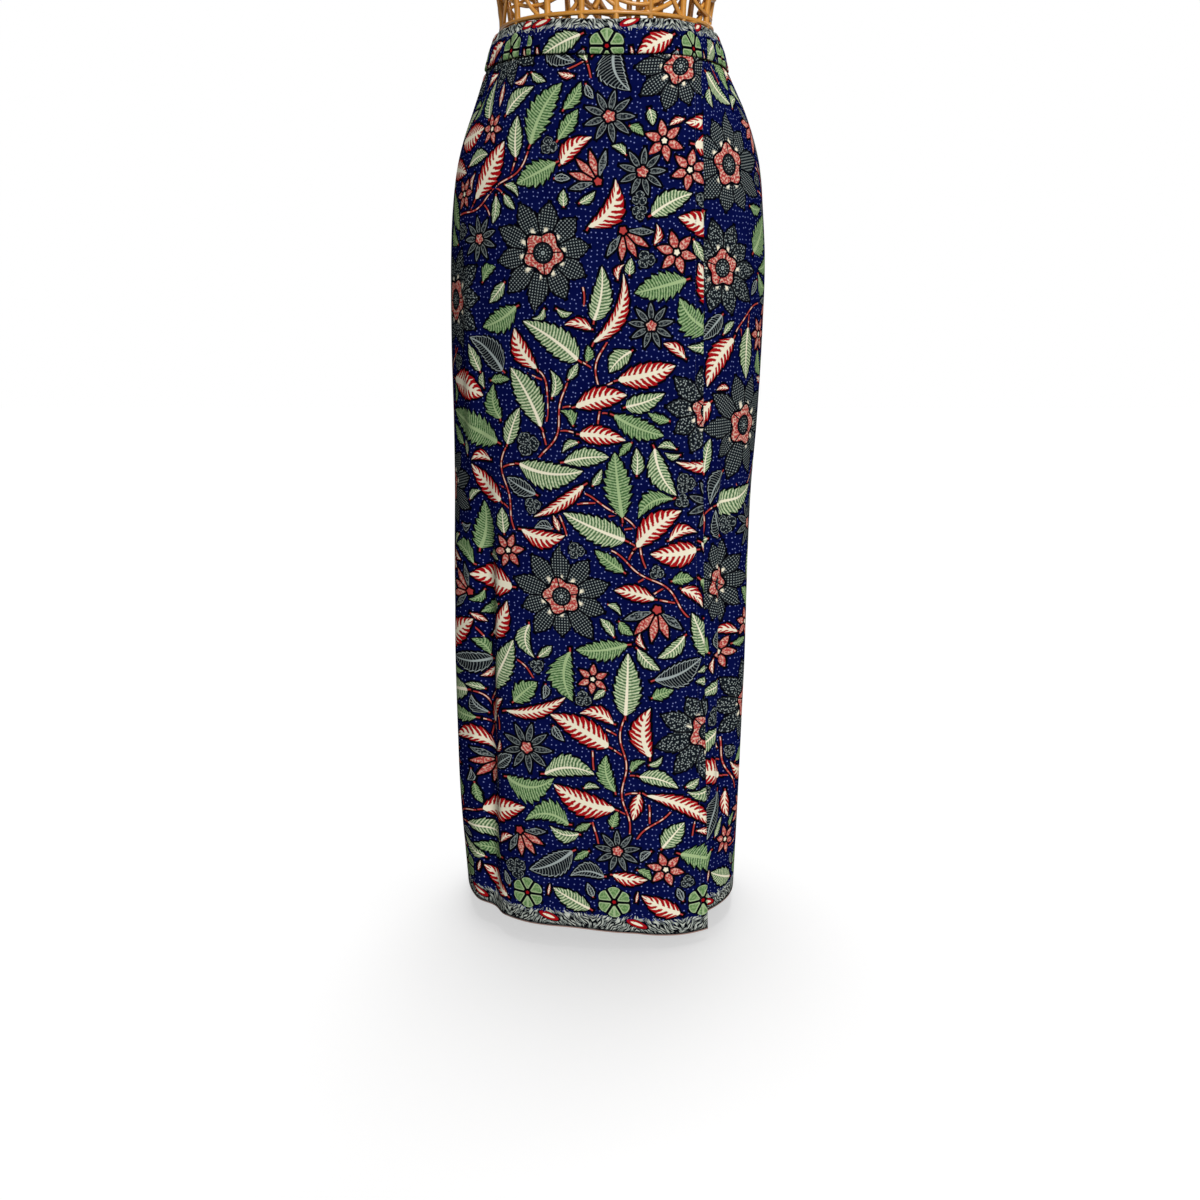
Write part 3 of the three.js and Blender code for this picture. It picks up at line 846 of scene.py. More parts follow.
        def inside_by(p, q):
            radius, bearing = np.hypot(p, q), np.arctan2(q, p)
            pitch, start = math.tau / sort["count"], sort["heart"] * 0.75
            aside = ((bearing / pitch + 0.5) % 1 - 0.5) * pitch
            along = radius * np.cos(aside)
            x = np.clip((along - start) / (1 - start), 0, 1)
            blunt = BLUNT_PETAL if style == GREEN_FLOWER else SHARP_PETAL
            half = sort["width"] * np.sin(np.pi * x ** sort["peak"]) ** blunt
            petal = np.minimum(half - np.abs(radius * np.sin(aside)), 1.01 - radius)
            petal = np.where(np.abs(bearing) < sort["fan"] * np.pi, petal, -1)
            return np.maximum(petal, sort["heart"] - radius)

        return self.stamp(FLOWER, u, v, turn, size, size + 0.006, inside_by, facts)

    def stem(self, u, v, heading, length, curl):
        """A thin winding stem from u, v, until its length ends or it meets another motif."""
        step, count = self.STEM_STEP, int(length / self.STEM_STEP)
        share = np.linspace(0, 1, count)
        headings = heading + curl * share ** 1.3 + 0.3 * np.sin(share * length * 90 + curl * 5)
        moves = np.stack([np.cos(headings), np.sin(headings)], axis=-1) * step
        path = np.concatenate([[(u, v)], (u, v) + np.cumsum(moves, axis=0)])
        columns = np.searchsorted(self.cut.u, path[:, 0]) - 1
        rows = self.cut.rows - np.searchsorted(self.cut.v[::-1], path[:, 1])
        on_cloth = (columns >= 0) & (columns < self.cut.columns) & (path[:, 1] > BORDER_HEIGHT)
        on_cloth &= (rows >= 0) & (rows < self.cut.rows)
        met = np.array([not ok or self.body[r, c] for ok, r, c in zip(on_cloth, rows, columns)])
        met[:3] = False
        path = path[:int(np.argmax(met)) if met.any() else len(path)]
        if len(path) < 5:
            return None
        middle = path.mean(axis=0)
        window = self.window(*middle, np.abs(path - middle).max() + 0.006)
        rows, columns = np.nonzero(self.kind[window] == GROUND)
        rows, columns = rows + window[0].start, columns + window[1].start
        centres = np.stack([self.middle_u[columns], self.middle_v[rows]], axis=-1)
        gap = np.linalg.norm(centres[:, None] - path[None], axis=2).min(axis=1)
        core = gap < self.STEM_CORE + self.CLEARANCE
        near = gap < self.STEM_FACES + self.CLEARANCE
        self.body[rows[core], columns[core]] = True
        rows, columns = rows[near], columns[near]
        corners = self.corners(rows, columns)
        nearest = np.linalg.norm(corners[:, :, None] - path[None, None], axis=3).argmin(axis=2)
        tangents = np.gradient(path, axis=0)
        tangents /= np.linalg.norm(tangents, axis=1)[:, None]
        offset, tangent = corners - path[nearest], tangents[nearest]
        along = nearest * step + (offset * tangent).sum(axis=2)
        aside = tangent[..., 0] * offset[..., 1] - tangent[..., 1] * offset[..., 0]
        self.settle(STEM, rows, columns, np.stack([along, aside], axis=-1) * 1000, {})
        return path

    def sprig(self, path):
        """A leaf that grows from the end of a stem."""
        ahead = path[-1] - path[-3]
        turn = math.atan2(ahead[1], ahead[0])
        base = path[-1] + 0.003 * ahead / np.linalg.norm(ahead)
        style = self.draw.choice((RED_LEAF, RED_LEAF, GREEN_LEAF, PALE_LEAF, PALE_LEAF))
        bend = self.draw.uniform(-0.1, 0.1)
        self.on_stem = True
        for size in SPRIG_SIZES:
            if self.leaf(style, *base, turn + self.draw.uniform(-0.3, 0.3), size, 0.44, bend):
                break
        self.on_stem = False

    def fill(self, count):
        """Leaves and clovers in the gaps that are left: so many tries for each size, the larger
        sizes first."""
        for size in LEAF_SIZES:
            for _ in range(count):
                u = self.draw.uniform(self.cut.left, self.cut.right)
                v = self.draw.uniform(BORDER_HEIGHT, self.cut.high)
                if self.taken(u, v):
                    continue
                turn, pick = self.draw.uniform(0, math.tau), self.draw.random()
                if size < CLOVER_LARGEST and pick < CLOVER_SHARE:
                    self.flower(CLOVER, u, v, turn, size * 0.48, CLOVER_SORT)
                    continue
                style, width = FILLERS[int(pick * len(FILLERS))]
                bend = self.draw.uniform(-0.22, 0.22)
                along = 0.5 * size * np.array([math.cos(turn), math.sin(turn)])
                if v - abs(along[1]) > BORDER_HEIGHT:
                    self.leaf(style, u - along[0], v - along[1], turn, size, width, bend)

    def branches(self, count):
        """Stems that climb and wander between the large motifs, with twigs that end in leaves."""
        for _ in range(count):
            u = self.draw.uniform(self.cut.left, self.cut.right)
            v = self.draw.uniform(BORDER_HEIGHT, self.cut.high)
            heading = math.pi / 2 + self.draw.normal(0, 0.6)
            length, curl = self.draw.uniform(0.05, 0.15), self.draw.uniform(-1.8, 1.8)
            path = self.stem(u, v, heading, length, curl)
            if path is None:
                continue
            self.sprig(path)
            for step in range(7, len(path) - 5, 9):
                side = 1 if self.draw.random() < 0.5 else -1
                ahead = path[step + 1] - path[step]
                twig = math.atan2(ahead[1], ahead[0]) + side * self.draw.uniform(0.5, 1.0)
                grown = self.stem(*path[step], twig, self.draw.uniform(0.013, 0.024), side * 0.5)
                if grown is not None:
                    self.sprig(grown)

    def border(self):
        """The row of green flowers along the border, with a leaf between each two."""
        first = math.floor(self.cut.left / BORDER_PITCH) - 1
        green = MOTIFS[MOTIFS["name"] == "border flower"][0]
        for number in range(first, math.ceil(self.cut.right / BORDER_PITCH) + 2):
            u, v = number * BORDER_PITCH, BORDER_FLOWER_HEIGHT
            self.flower(GREEN_FLOWER, u, v, math.pi / 2, BORDER_FLOWER_RADIUS, green)
            style = RED_LEAF if number % 2 else PALE_LEAF
            self.leaf(style, u - 0.026, v - 0.011, math.radians(152), 0.044, 0.50, 0.03)
            self.leaf(GREY_LEAF, u - 0.0225, v + 0.004, math.radians(110), 0.016, 0.5)
            self.leaf(RED_LEAF, u - BORDER_PITCH + 0.0235, v + 0.002, math.radians(80), 0.012, 0.28)

    def scatter(self):
        """Flowers and leaves thrown on the free cloth, the largest first, with branches after
        the large ones."""
        area = (self.cut.right - self.cut.left) * (self.cut.high - self.cut.low)
        for sort in MOTIFS[MOTIFS["each_m2"] > 0]:
            if sort["name"] == FIRST_SMALL_MOTIF:
                self.branches(int(BRANCHES_EACH_M2 * area))
            kind, style = sort["kind"], sort["style"]
            wanted = round(sort["each_m2"] * area)
            for _ in range(int(TRIES_EACH * sort["each_m2"] * area)):
                size = self.draw.uniform(sort["least"], sort["most"])
                past = size * self.PAST_EDGE
                u = self.draw.uniform(self.cut.left - past, self.cut.right + past)
                v = self.draw.uniform(BORDER_HEIGHT + past * (kind == FLOWER), self.cut.high + past)
                turn, bend = self.draw.uniform(0, math.tau), self.draw.uniform(-1, 1) * sort["bend"]
                if kind == LEAF:
                    if v + size * math.sin(turn) < BORDER_HEIGHT:
                        continue
                    placed = self.leaf(style, u, v, turn, size, sort["width"], bend)
                else:
                    placed = self.flower(style, u, v, turn, size, sort)
                wanted -= placed
                if wanted <= 0:
                    break
        self.fill(int(FILL_TRIES_EACH_M2 * area))


# How far apart a leaf's veins and teeth are, and how deep its teeth, in the order of the leaves.
VEINS = ((0.0060, 0.0100, 0.20), (0.0029, 0.0080, 0.32),
         (0.0034, 0.0090, 0.22), (0.0030, 0.0060, 0.15))
BRANCHES_EACH_M2 = 150
TRIES_EACH = 50
FILL_TRIES_EACH_M2 = 12000
FIRST_SMALL_MOTIF = "broad red leaf"
LEAF_SIZES = (0.054, 0.047, 0.041, 0.036, 0.031, 0.027, 0.023, 0.019, 0.016)
SPRIG_SIZES = (0.068, 0.060) + LEAF_SIZES
CLOVER_LARGEST = 0.028
CLOVER_SHARE = 0.30
FILLERS = ((GREEN_LEAF, 0.56), (GREEN_LEAF, 0.68), (PALE_LEAF, 0.48), (PALE_LEAF, 0.62),
           (RED_LEAF, 0.44), (GREEN_LEAF, 0.44), (PALE_LEAF, 0.42), (GREEN_LEAF, 0.60),
           (GREY_LEAF, 0.50))

MOTIFS = np.array([
    ("great flower", FLOWER, GREAT_FLOWER, 30, 0.049, 0.062, 0.195, 10, 0.36, 0.90, 0.22, 1.0, 0),
    ("curved red leaf", LEAF, RED_LEAF, 26, 0.060, 0.092, 0.21, 0, 0, 0, 0, 0, 0.17),
    ("lily", FLOWER, LILY, 26, 0.030, 0.038, 0.13, 12, 0.13, 0.80, 0.12, 0.42, 0),
    ("broad red leaf", LEAF, RED_LEAF, 30, 0.048, 0.072, 0.56, 0, 0, 0, 0, 0, 0.05),
    ("great green leaf", LEAF, GREEN_LEAF, 16, 0.070, 0.105, 0.42, 0, 0, 0, 0, 0, 0.14),
    ("spiky flower", FLOWER, SPIKY_FLOWER, 30, 0.021, 0.028, 0.12, 9, 0.24, 0.85, 0.0, 1.0, 0),
    ("coral star", FLOWER, STAR_FLOWER, 34, 0.015, 0.022, 0.20, 6, 0.15, 0.80, 0.0, 1.0, 0),
    ("clover", FLOWER, CLOVER, 0, 0.0100, 0.0140, 0.56, 3, 0.02, 1.15, 0.0, 1.0, 0),
    ("border flower", FLOWER, GREEN_FLOWER, 0, 0.016, 0.016, 0.40, 6, 0.12, 1.5, 0.0, 1.0, 0),
], dtype=[("name", "U20"), ("kind", int), ("style", int), ("each_m2", int), ("least", float),
          ("most", float), ("width", float), ("count", int), ("heart", float), ("peak", float),
          ("tooth", float), ("fan", float), ("bend", float)])
CLOVER_SORT = MOTIFS[MOTIFS["name"] == "clover"][0]


# ---------------------------------------------------------------------------------------------
# The front overlap panel: the main front, cut with the printed border at its hem. Its free edge
# is turned in and topstitched, and the corner below that edge hangs lowest.
CLOTH_SHELL = 0.0011
SIDE_SEAM = 90
EDGE_TURN = 0.0085
EDGE_RISE = 0.0006
FRONT_FACE = 0.0027


def thread(angle):
    """The cloth's coordinate at an angle round the hips."""
    return float(np.interp(angle, ROUND, hip_girth))


def seam_gap(z):
    """Half the gap of a side seam, in degrees."""
    return math.degrees(SEAM / 2 / reach(FIGURE, SIDE_SEAM, z))


def make_piece(name, points, faces, materials):
    """A smooth mesh of points and faces, as a piece that rides on the one body."""
    mesh = bpy.data.meshes.new(name)
    mesh.from_pydata(points.reshape(-1, 3).tolist(), [], faces)
    for material in materials:
        mesh.materials.append(material)
    mesh.shade_smooth()
    piece = bpy.data.objects.new(name, mesh)
    bpy.context.scene.collection.objects.link(piece)
    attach(piece, "root")
    return piece


def sheet_of(name, points, printed):
    """A thin closed piece of printed cloth: a grid of faces on its outer side, each with its
    place on the cloth and its motif, given a thickness inwards."""
    index = np.arange(points.shape[0] * points.shape[1]).reshape(points.shape[:2])
    quads = np.stack([index[:-1, :-1], index[1:, :-1], index[1:, 1:], index[:-1, 1:]], axis=-1)
    piece = make_piece(name, points, quads.reshape(-1, 4).tolist(), PRINTS)
    mesh = piece.data
    rows, columns = np.indices(printed.kind.shape).reshape(2, -1)
    places = printed.corners(rows, columns).astype(np.float32)
    mesh.uv_layers.new(name="cloth").uv.foreach_set("vector", places.ravel())
    mesh.uv_layers.new(name="motif").uv.foreach_set("vector", printed.motif.ravel())
    for fact, values in printed.facts.items():
        kept = mesh.attributes.new(fact, "FLOAT_VECTOR", "FACE")
        kept.data.foreach_set("vector", values.ravel())
    mesh.polygons.foreach_set("material_index", printed.kind.ravel())
    thick = piece.modifiers.new("thickness", "SOLIDIFY")
    thick.thickness = CLOTH_SHELL
    thick.offset = -1
    thick.material_offset = len(PRINTS) - 1
    return piece


def make_panel(name, node, cut, seed, length, *course, **hung):
    """A printed cloth panel hung in place of its node; the length given to it is not used."""
    printed = Print(cut, seed)
    printed.border()
    printed.scatter()
    piece = sheet_of(name, hang_panel(cut, *course, **hung), printed)
    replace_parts(piece, node)
    cut.right - cut.left


def overlap_hem(angle):
    """The lower edge sinks from the middle of the front to the free edge."""
    return HEM - OVERLAP_DROOP * ease(-20, overlap_edge(HEM), angle)


def overlap_rise(angle, z):
    """The overlap's lift, with the turned edge a thread's thickness higher."""
    inside = np.radians(overlap_edge(z) - angle) * reach(FIGURE, angle, z)
    return overlap_lift(angle, z) + EDGE_RISE * ease(EDGE_TURN + 0.002, EDGE_TURN - 0.002, inside)


free_edge_at_hip = float(overlap_edge(HIP))
front_cut = Cut(thread(-SIDE_SEAM), thread(free_edge_at_hip), 0, PANEL_TOP - HEM, FRONT_FACE)
make_panel("overlap_panel_cloth", "front_overlap_panel", front_cut, 7, OVERLAP_LENGTH,
           lambda z: seam_gap(z) - SIDE_SEAM, overlap_edge, overlap_hem, lift=overlap_rise)


# ---------------------------------------------------------------------------------------------
# The under panel: it starts below the overlap and runs to the side seam, where the elastic
# begins to gather it. Its hem is straight, and at the waist it is tucked in below the overlap.
UNDER_TUCK = 0.0018
GATHERS_SHOW = (0.5, 3)


def level_hem(angle):
    """A hem at one height."""
    return np.full_like(angle, HEM)


def past_overlap(angle, z):
    """0 below the overlap and 1 beyond its free edge, where the gathers show."""
    return ease(*GATHERS_SHOW, angle - overlap_edge(z))


under_cut = Cut(thread(free_edge_at_hip - UNDERLAP), thread(SIDE_SEAM), 0, PANEL_TOP - HEM)
make_panel("under_panel_cloth", "front_under_panel", under_cut, 23, PANEL_LENGTH,
           lambda z: overlap_edge(z) - UNDERLAP, lambda z: SIDE_SEAM - seam_gap(z), level_hem,
           ripple=past_overlap, tuck=UNDER_TUCK)


# ---------------------------------------------------------------------------------------------
# The back panel: one width of cloth between the side seams, gathered all along its top by the
# elastic, from where it falls in wide soft folds.
BACK_FACE = 0.0032
back_cut = Cut(thread(SIDE_SEAM), thread(360 - SIDE_SEAM), 0, PANEL_TOP - HEM, BACK_FACE)
make_panel("back_panel_cloth", "back_panel", back_cut, 41, PANEL_LENGTH,
           lambda z: SIDE_SEAM + seam_gap(z), lambda z: 360 - SIDE_SEAM - seam_gap(z), level_hem)


# ---------------------------------------------------------------------------------------------
# The waistband: a strip cut from the border of the cloth and folded over, flat across the front
# and gathered over an elastic round the sides and back. The seam below it is a narrow groove.
BAND_BULGE = 0.0014
BAND_STAND = 0.0008
BAND_SEAM = 0.0005
BAND_ROUNDNESS = 0.35
BAND_TURNS = (-60, 174)
BAND_FACE = 0.0016
BAND_TRIM = 0.008
BAND_PUCKER = 0.0005
BAND_MIDDLE = WAIST - BAND_HEIGHT / 2


def band_section():
    """How far the band stands out and how deep below its top it lies, from inside the fold over
    the top and down the outside: out = w |sin t|^0.5, down = h/2 (1 - |cos t|^0.35)."""
    turn = np.radians(np.linspace(*BAND_TURNS, 400))
    sine, cosine = np.sin(turn), np.cos(turn)
    out = BAND_BULGE * np.sign(sine) * np.abs(sine) ** 0.5
    down = BAND_HEIGHT / 2 * (1 - np.sign(cosine) * np.abs(cosine) ** BAND_ROUNDNESS)
    length = np.concatenate([[0], np.cumsum(np.hypot(np.diff(out), np.diff(down)))])
    top = np.interp(0, turn, length)
    return out, down, length - top


def hang_band(cut, first, last, depth):
    """The grid of a waistband piece's points: its section carried round the waist, proud of the
    panels tucked behind it, and ruffled where the elastic draws it in."""
    out, down, length = band_section()
    along = threads(BAND_MIDDLE)
    ends = np.interp([first, last], ROUND, along)
    share = (cut.u - cut.left) / (cut.right - cut.left)
    angle = np.interp(mix(ends[0], ends[1], share), along, ROUND)[None, :]
    place = cut.v[:, None] - BAND_TRIM
    z = band_top(angle) - np.interp(place, length, down)
    pucker = np.sin(np.radians(angle * 150)) * np.sin(np.radians(angle * 47 + 9000 * place))
    ripple = depth * gathers(angle, z) + BAND_PUCKER * gathered(angle) * pucker
    angle = np.broadcast_to(angle, z.shape)
    radius = reach(FIGURE, angle, z) + BAND_STAND + np.interp(place, length, out) + ripple
    return round_points(radius, angle, z)


_, _, band_length = band_section()


def band_cut(first, last):
    """The cut of a waistband piece between two angles, from the fold's inside to its seam."""
    along = threads(BAND_MIDDLE)
    left, right = np.interp([first, last], ROUND, along)
    return Cut(left, right, BAND_TRIM + band_length[-1], BAND_TRIM + band_length[0], BAND_FACE)


def waistband(name, first, last, depth, seed, node, held):
    """One piece of the waistband, printed with the border."""
    gap = math.degrees(BAND_SEAM / 2 / reach(FIGURE, first, BAND_MIDDLE))
    cut = band_cut(first + gap, last - gap)
    printed = Print(cut, seed)
    printed.border()
    points = hang_band(cut, first + gap, last - gap, depth)
    piece = sheet_of(name, points, printed)
    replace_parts(piece, node)
    flat = (cut.right - cut.left, abs(cut.high - cut.low))


waistband("flat_waistband_cloth", ELASTIC[1] - 360, ELASTIC[0], 0, 5,
          "waistband_front", "stretched")
waistband("elastic_waistband_cloth", *ELASTIC, BAND_GATHER_DEPTH, 6,
          "waistband_elastic", "gathered")


# ---------------------------------------------------------------------------------------------
# The topstitching that holds the turned edge of the overlap: one row of dark thread from the
# waistband to the hem.
STITCH_PITCH = 0.0032
STITCH_LENGTH = 0.0026
STITCH_RADIUS = 0.00028
STITCH_SIDES = 6
STITCH_RINGS = 5
STITCH_STAND = 0.4
THREAD_NAVY = (0.004, 0.005, 0.03, 1)
THREAD_BLUE = (0.02, 0.025, 0.09, 1)


def sewing_thread():
    """Spun polyester thread, dark and a little glossy, with a fine mottle."""
    material, tree, shader = new_finish("sewing_thread", {"Roughness": 0.55})
    where = tree.nodes.new("ShaderNodeTexCoord")
    grain = cloud(tree, Ink(where.outputs["Object"]), 2500.0)
    feed(tree, shader.inputs["Base Color"], paint(THREAD_NAVY, THREAD_BLUE, grain))
    return material


def stitches(name, path, outward):
    """Spindle-shaped stitches end to end along a path: radius r sin(pi t)^0.4, sunk at both
    ends."""
    length = lengths_along(path)

    def along_path(values, places):
        """The path's points or directions at some lengths along it."""
        return np.stack([np.interp(places, length, values[:, k]) for k in range(3)], axis=-1)

    middles = np.arange(STITCH_PITCH, length[-1] - STITCH_PITCH, STITCH_PITCH)
    centre, out = along_path(path, middles), along_path(outward, middles)
    ahead = along_path(path, middles + 0.001) - centre
    ahead /= np.linalg.norm(ahead, axis=1)[:, None]
    side = np.cross(ahead, out)
    t = np.linspace(0.03, 0.97, STITCH_RINGS)
    turn = np.linspace(0, math.tau, STITCH_SIDES, endpoint=False)
    thick = STITCH_RADIUS * np.sin(np.pi * t) ** 0.4
    along = (t - 0.5) * STITCH_LENGTH
    sunk = -STITCH_RADIUS * 1.2 * (2 * t - 1) ** 4
    rings = (centre[:, None, None] + ahead[:, None, None] * along[None, :, None, None]
             + out[:, None, None] * (sunk[:, None] + thick[:, None] * np.sin(turn))[None, ..., None]
             + side[:, None, None] * (thick[:, None] * np.cos(turn))[None, ..., None])
    index = np.arange(rings.size // 3).reshape(rings.shape[:3])
    after = np.roll(index, -1, axis=2)
    quads = np.stack([index[:, :-1], after[:, :-1], after[:, 1:], index[:, 1:]], axis=-1)
    ends = index[:, 0, ::-1].tolist() + index[:, -1].tolist()
    faces = quads.reshape(-1, 4).tolist() + ends
    make_piece(name, rings, faces, [sewing_thread()])


stitch_z = np.linspace(PANEL_TOP - 0.002, HEM - OVERLAP_DROOP + 0.003, 500)
free_edge = overlap_edge(stitch_z)
stitch_angle = free_edge - np.degrees(EDGE_TURN / reach(FIGURE, free_edge, stitch_z))
stitch_rise = GATHER_DEPTH * gathers(stitch_angle, stitch_z) + STITCH_RADIUS * STITCH_STAND
stitch_path = cloth_surface(stitch_angle, stitch_z, overlap_rise, stitch_rise)
stitch_out = round_points(np.ones_like(stitch_z), stitch_angle, 0 * stitch_z)
stitches("overlap_topstitching", stitch_path, stitch_out)


# ---------------------------------------------------------------------------------------------
# The dress form: a limbless torso woven of honey-coloured cane. Stout uprights come together over
# the pole's flange, rise through rings and end at a coil of cane at the neck. Thinner canes loop
# between them.
FORM_TOP = 1.400
CHEST = 1.0
FORM_FOOT = 0.640
FORM_CLEAR = 0.0026
UPRIGHTS = 16
UPRIGHT_RADIUS = 0.0033
RING_RADIUS = 0.0025
LOOP_RADIUS = (0.0017, 0.0026)
LOOPS = 150
LOOP_POINTS = 56
UPPER_WEAVE = (0.960, 1.390)
LOWER_WEAVE = (0.680, 0.960)
WAIST_BLEND = (0.955, 0.990)
NECK_COIL_TURNS = 7
NECK_COIL_RADIUS = 0.043
CANE_SIDES = 8
CANE_PALE = (0.80, 0.38, 0.050, 1)
CANE_DARK = (0.50, 0.18, 0.016, 1)
CANE_KNOT = (0.225, 0.081, 0.0072, 1)

TORSO = np.array([
    (0.984, 0.116, 0.115, 0.0915, 0.0895, 2.0),
    (1.005, 0.1165, 0.1155, 0.092, 0.090, 2.0),
    (1.022, 0.119, 0.118, 0.094, 0.091, 2.0),
    (1.060, 0.125, 0.125, 0.100, 0.096, 2.0),
    (1.110, 0.135, 0.135, 0.110, 0.103, 2.05),
    (1.160, 0.143, 0.143, 0.119, 0.109, 2.1),
    (1.200, 0.148, 0.148, 0.120, 0.113, 2.1),
    (1.240, 0.153, 0.153, 0.111, 0.114, 2.1),
    (1.280, 0.160, 0.160, 0.097, 0.110, 2.15),
    (1.306, 0.161, 0.161, 0.086, 0.102, 2.15),
    (1.326, 0.146, 0.146, 0.076, 0.091, 2.1),
    (1.341, 0.112, 0.112, 0.066, 0.078, 2.0),
    (1.353, 0.076, 0.076, 0.057, 0.064, 2.0),
    (1.368, 0.058, 0.058, 0.052, 0.054, 2.0),
    (1.400, 0.052, 0.052, 0.049, 0.049, 2.0),
], dtype=FIGURE.dtype)

FORM_UNDERSIDE = np.array([
    (0.640, 0.30), (0.643, 0.52), (0.653, 0.70), (0.670, 0.84), (0.697, 0.935), (0.730, 0.98),
    (0.762, 0.995), (0.800, 1.0),
], dtype=[("z", float), ("share", float)])

RINGS = (0.652, 0.700, 0.790, 0.880, 0.9915, 1.060, 1.130, 1.205, 1.275, 1.330, 1.362, 1.3965)


def form_surface(angle, z, sunk):
    """A point of the form's outline, so far inside it. Below the waist it follows the cloth."""
    inside = reach(FIGURE, angle, z) * read(FORM_UNDERSIDE, "share", z) - FORM_CLEAR
    torso = reach(TORSO, angle, z)
    upper = np.where(z > WAIST, torso, np.minimum(torso, inside))
    return round_points(mix(inside, upper, ease(*WAIST_BLEND, z)) - sunk, angle, z)


def honey_cane():
    """Varnished cane: long fibres along its length, darker knots now and then, a clear gloss."""
    material, tree, shader = new_finish("honey_cane", {
        "Roughness": 0.36,
        "Coat Weight": 0.35,
        "Coat Roughness": 0.2,
    })
    along, around, _ = fields(tree, "uv", "cane")
    fibre = cloud(tree, place(tree, along * 40, around * 9), 3.0, 4.0)
    patch = cloud(tree, place(tree, along * 12, around * 0.5), 1.5, 2.0)
    colour = paint(CANE_PALE, CANE_DARK, above(fibre, 0.5, 0.5))
    colour = paint(colour, CANE_KNOT, above(patch, 0.62, 0.2) * 0.5)
    feed(tree, shader.inputs["Base Color"], colour)
    roughen(tree, shader, fibre, strength=0.35, distance=0.0004)
    return material


HONEY = honey_cane()


def canes(name, runs):
    """Round canes in one mesh. A run is its path, its radius and whether it closes on itself.
    Rings of points stand across the path: centre + r (side cos t + out sin t)."""
    points, quads, caps, places = [], [], [], []
    count = 0
    turn = np.linspace(0, math.tau, CANE_SIDES, endpoint=False)
    for path, radius, closed in runs:
        if closed:
            ahead = np.roll(path, -1, axis=0) - np.roll(path, 1, axis=0)
        else:
            ahead = np.gradient(path, axis=0)
        ahead /= np.linalg.norm(ahead, axis=1)[:, None]
        out = path - (0, 0, CHEST)
        out = out - (out * ahead).sum(axis=1)[:, None] * ahead
        out /= np.maximum(np.linalg.norm(out, axis=1), 1e-9)[:, None]
        side = np.cross(ahead, out)
        rim = side[:, None] * np.cos(turn)[:, None] + out[:, None] * np.sin(turn)[:, None]
        points.append((path[:, None] + radius * rim).reshape(-1, 3))
        index = count + np.arange(len(path) * CANE_SIDES).reshape(len(path), CANE_SIDES)
        length = lengths_along(path)
        if closed:
            index = np.concatenate([index, index[:1]])
            length = np.append(length, length[-1] + np.linalg.norm(path[0] - path[-1]))
        else:
            caps += [index[0, ::-1].tolist(), index[-1].tolist()]
        after = np.roll(index, -1, axis=1)
        quad = np.stack([index[:-1], after[:-1], after[1:], index[1:]], axis=-1)
        quads.append(quad.reshape(-1, 4))
        k = np.arange(CANE_SIDES) / CANE_SIDES + 0 * length[:-1, None]
        low, high = length[:-1, None] + 0 * k, length[1:, None] + 0 * k
        lengthwise = np.stack([low, low, high, high], axis=-1)
        around = np.stack([k, k + 1 / CANE_SIDES, k + 1 / CANE_SIDES, k], axis=-1)
        place_of = np.stack([lengthwise, around], axis=-1).reshape(-1, 2)
        places.append(place_of + (count * 0.37, 0))
        count += len(path) * CANE_SIDES
    faces = np.concatenate(quads).tolist() + caps
    piece = make_piece(name, np.concatenate(points), faces, [HONEY])
    places.append(np.zeros((len(caps) * CANE_SIDES, 2)))
    flat = np.concatenate(places).astype(np.float32)
    piece.data.uv_layers.new(name="cane").uv.foreach_set("vector", flat.ravel())
    return piece


def upright(angle):
    """A stout cane from over the pole's flange, out along the foot and up to the neck."""
    foot = np.linspace(FORM_FOOT + 0.0036, 0.70, 24)
    z = np.concatenate([foot, np.linspace(0.705, FORM_TOP - 0.005, 120)])
    path = form_surface(np.full_like(z, angle), z, UPRIGHT_RADIUS + 0.0005)
    spoke = np.linspace(0.25, 0.95, 8)[:, None] * (path[0] * (1, 1, 0)) + (0, 0, path[0, 2])
    return np.concatenate([spoke, path])


def ring(z, sunk=RING_RADIUS + 0.0002):
    """A ring of cane round the form at a height."""
    angle = np.linspace(0, 360, 90, endpoint=False)
    return form_surface(angle, np.full_like(angle, z), sunk)


def loop(draw, low, high):
    """A thin cane that bends through part of an oval over the form's surface, in and out a little
    as it passes over and under the others."""
    radius = draw.uniform(LOOP_RADIUS[0], LOOP_RADIUS[1])
    wide, tall = draw.uniform(18, 60), draw.uniform(0.035, 0.11)
    middle = draw.uniform(low + tall, high - tall)
    turn = np.linspace(0, math.radians(draw.uniform(110, 300)), LOOP_POINTS)
    turn = turn + draw.uniform(0, math.tau)
    lean = draw.uniform(-0.5, 0.5)
    angle = draw.uniform(0, 360) + wide * np.cos(turn) + wide * lean * np.sin(turn)
    z = middle + tall * np.sin(turn)
    waves = np.linspace(0, draw.uniform(4, 9), LOOP_POINTS)
    weave = 1 + np.sin(waves * math.pi + draw.uniform(0, 6))
    return form_surface(angle, z, radius + 0.0004 + 0.0032 * weave), radius, False


frame_runs = [(upright(number * 360 / UPRIGHTS + 6), UPRIGHT_RADIUS, False)
              for number in range(UPRIGHTS)]
frame_runs += [(ring(z), RING_RADIUS, True) for z in RINGS]
coil_turn = np.linspace(0, NECK_COIL_TURNS * math.tau, 260)
coil_radius = NECK_COIL_RADIUS * (1 - coil_turn / coil_turn[-1] * 0.93)
coil = np.stack([coil_radius * np.sin(coil_turn), -coil_radius * np.cos(coil_turn),
                 np.full_like(coil_turn, FORM_TOP - 0.004)], axis=-1)
frame_runs.append((coil, RING_RADIUS, False))
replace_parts(canes("cane_form_frame", frame_runs), "dress_form")

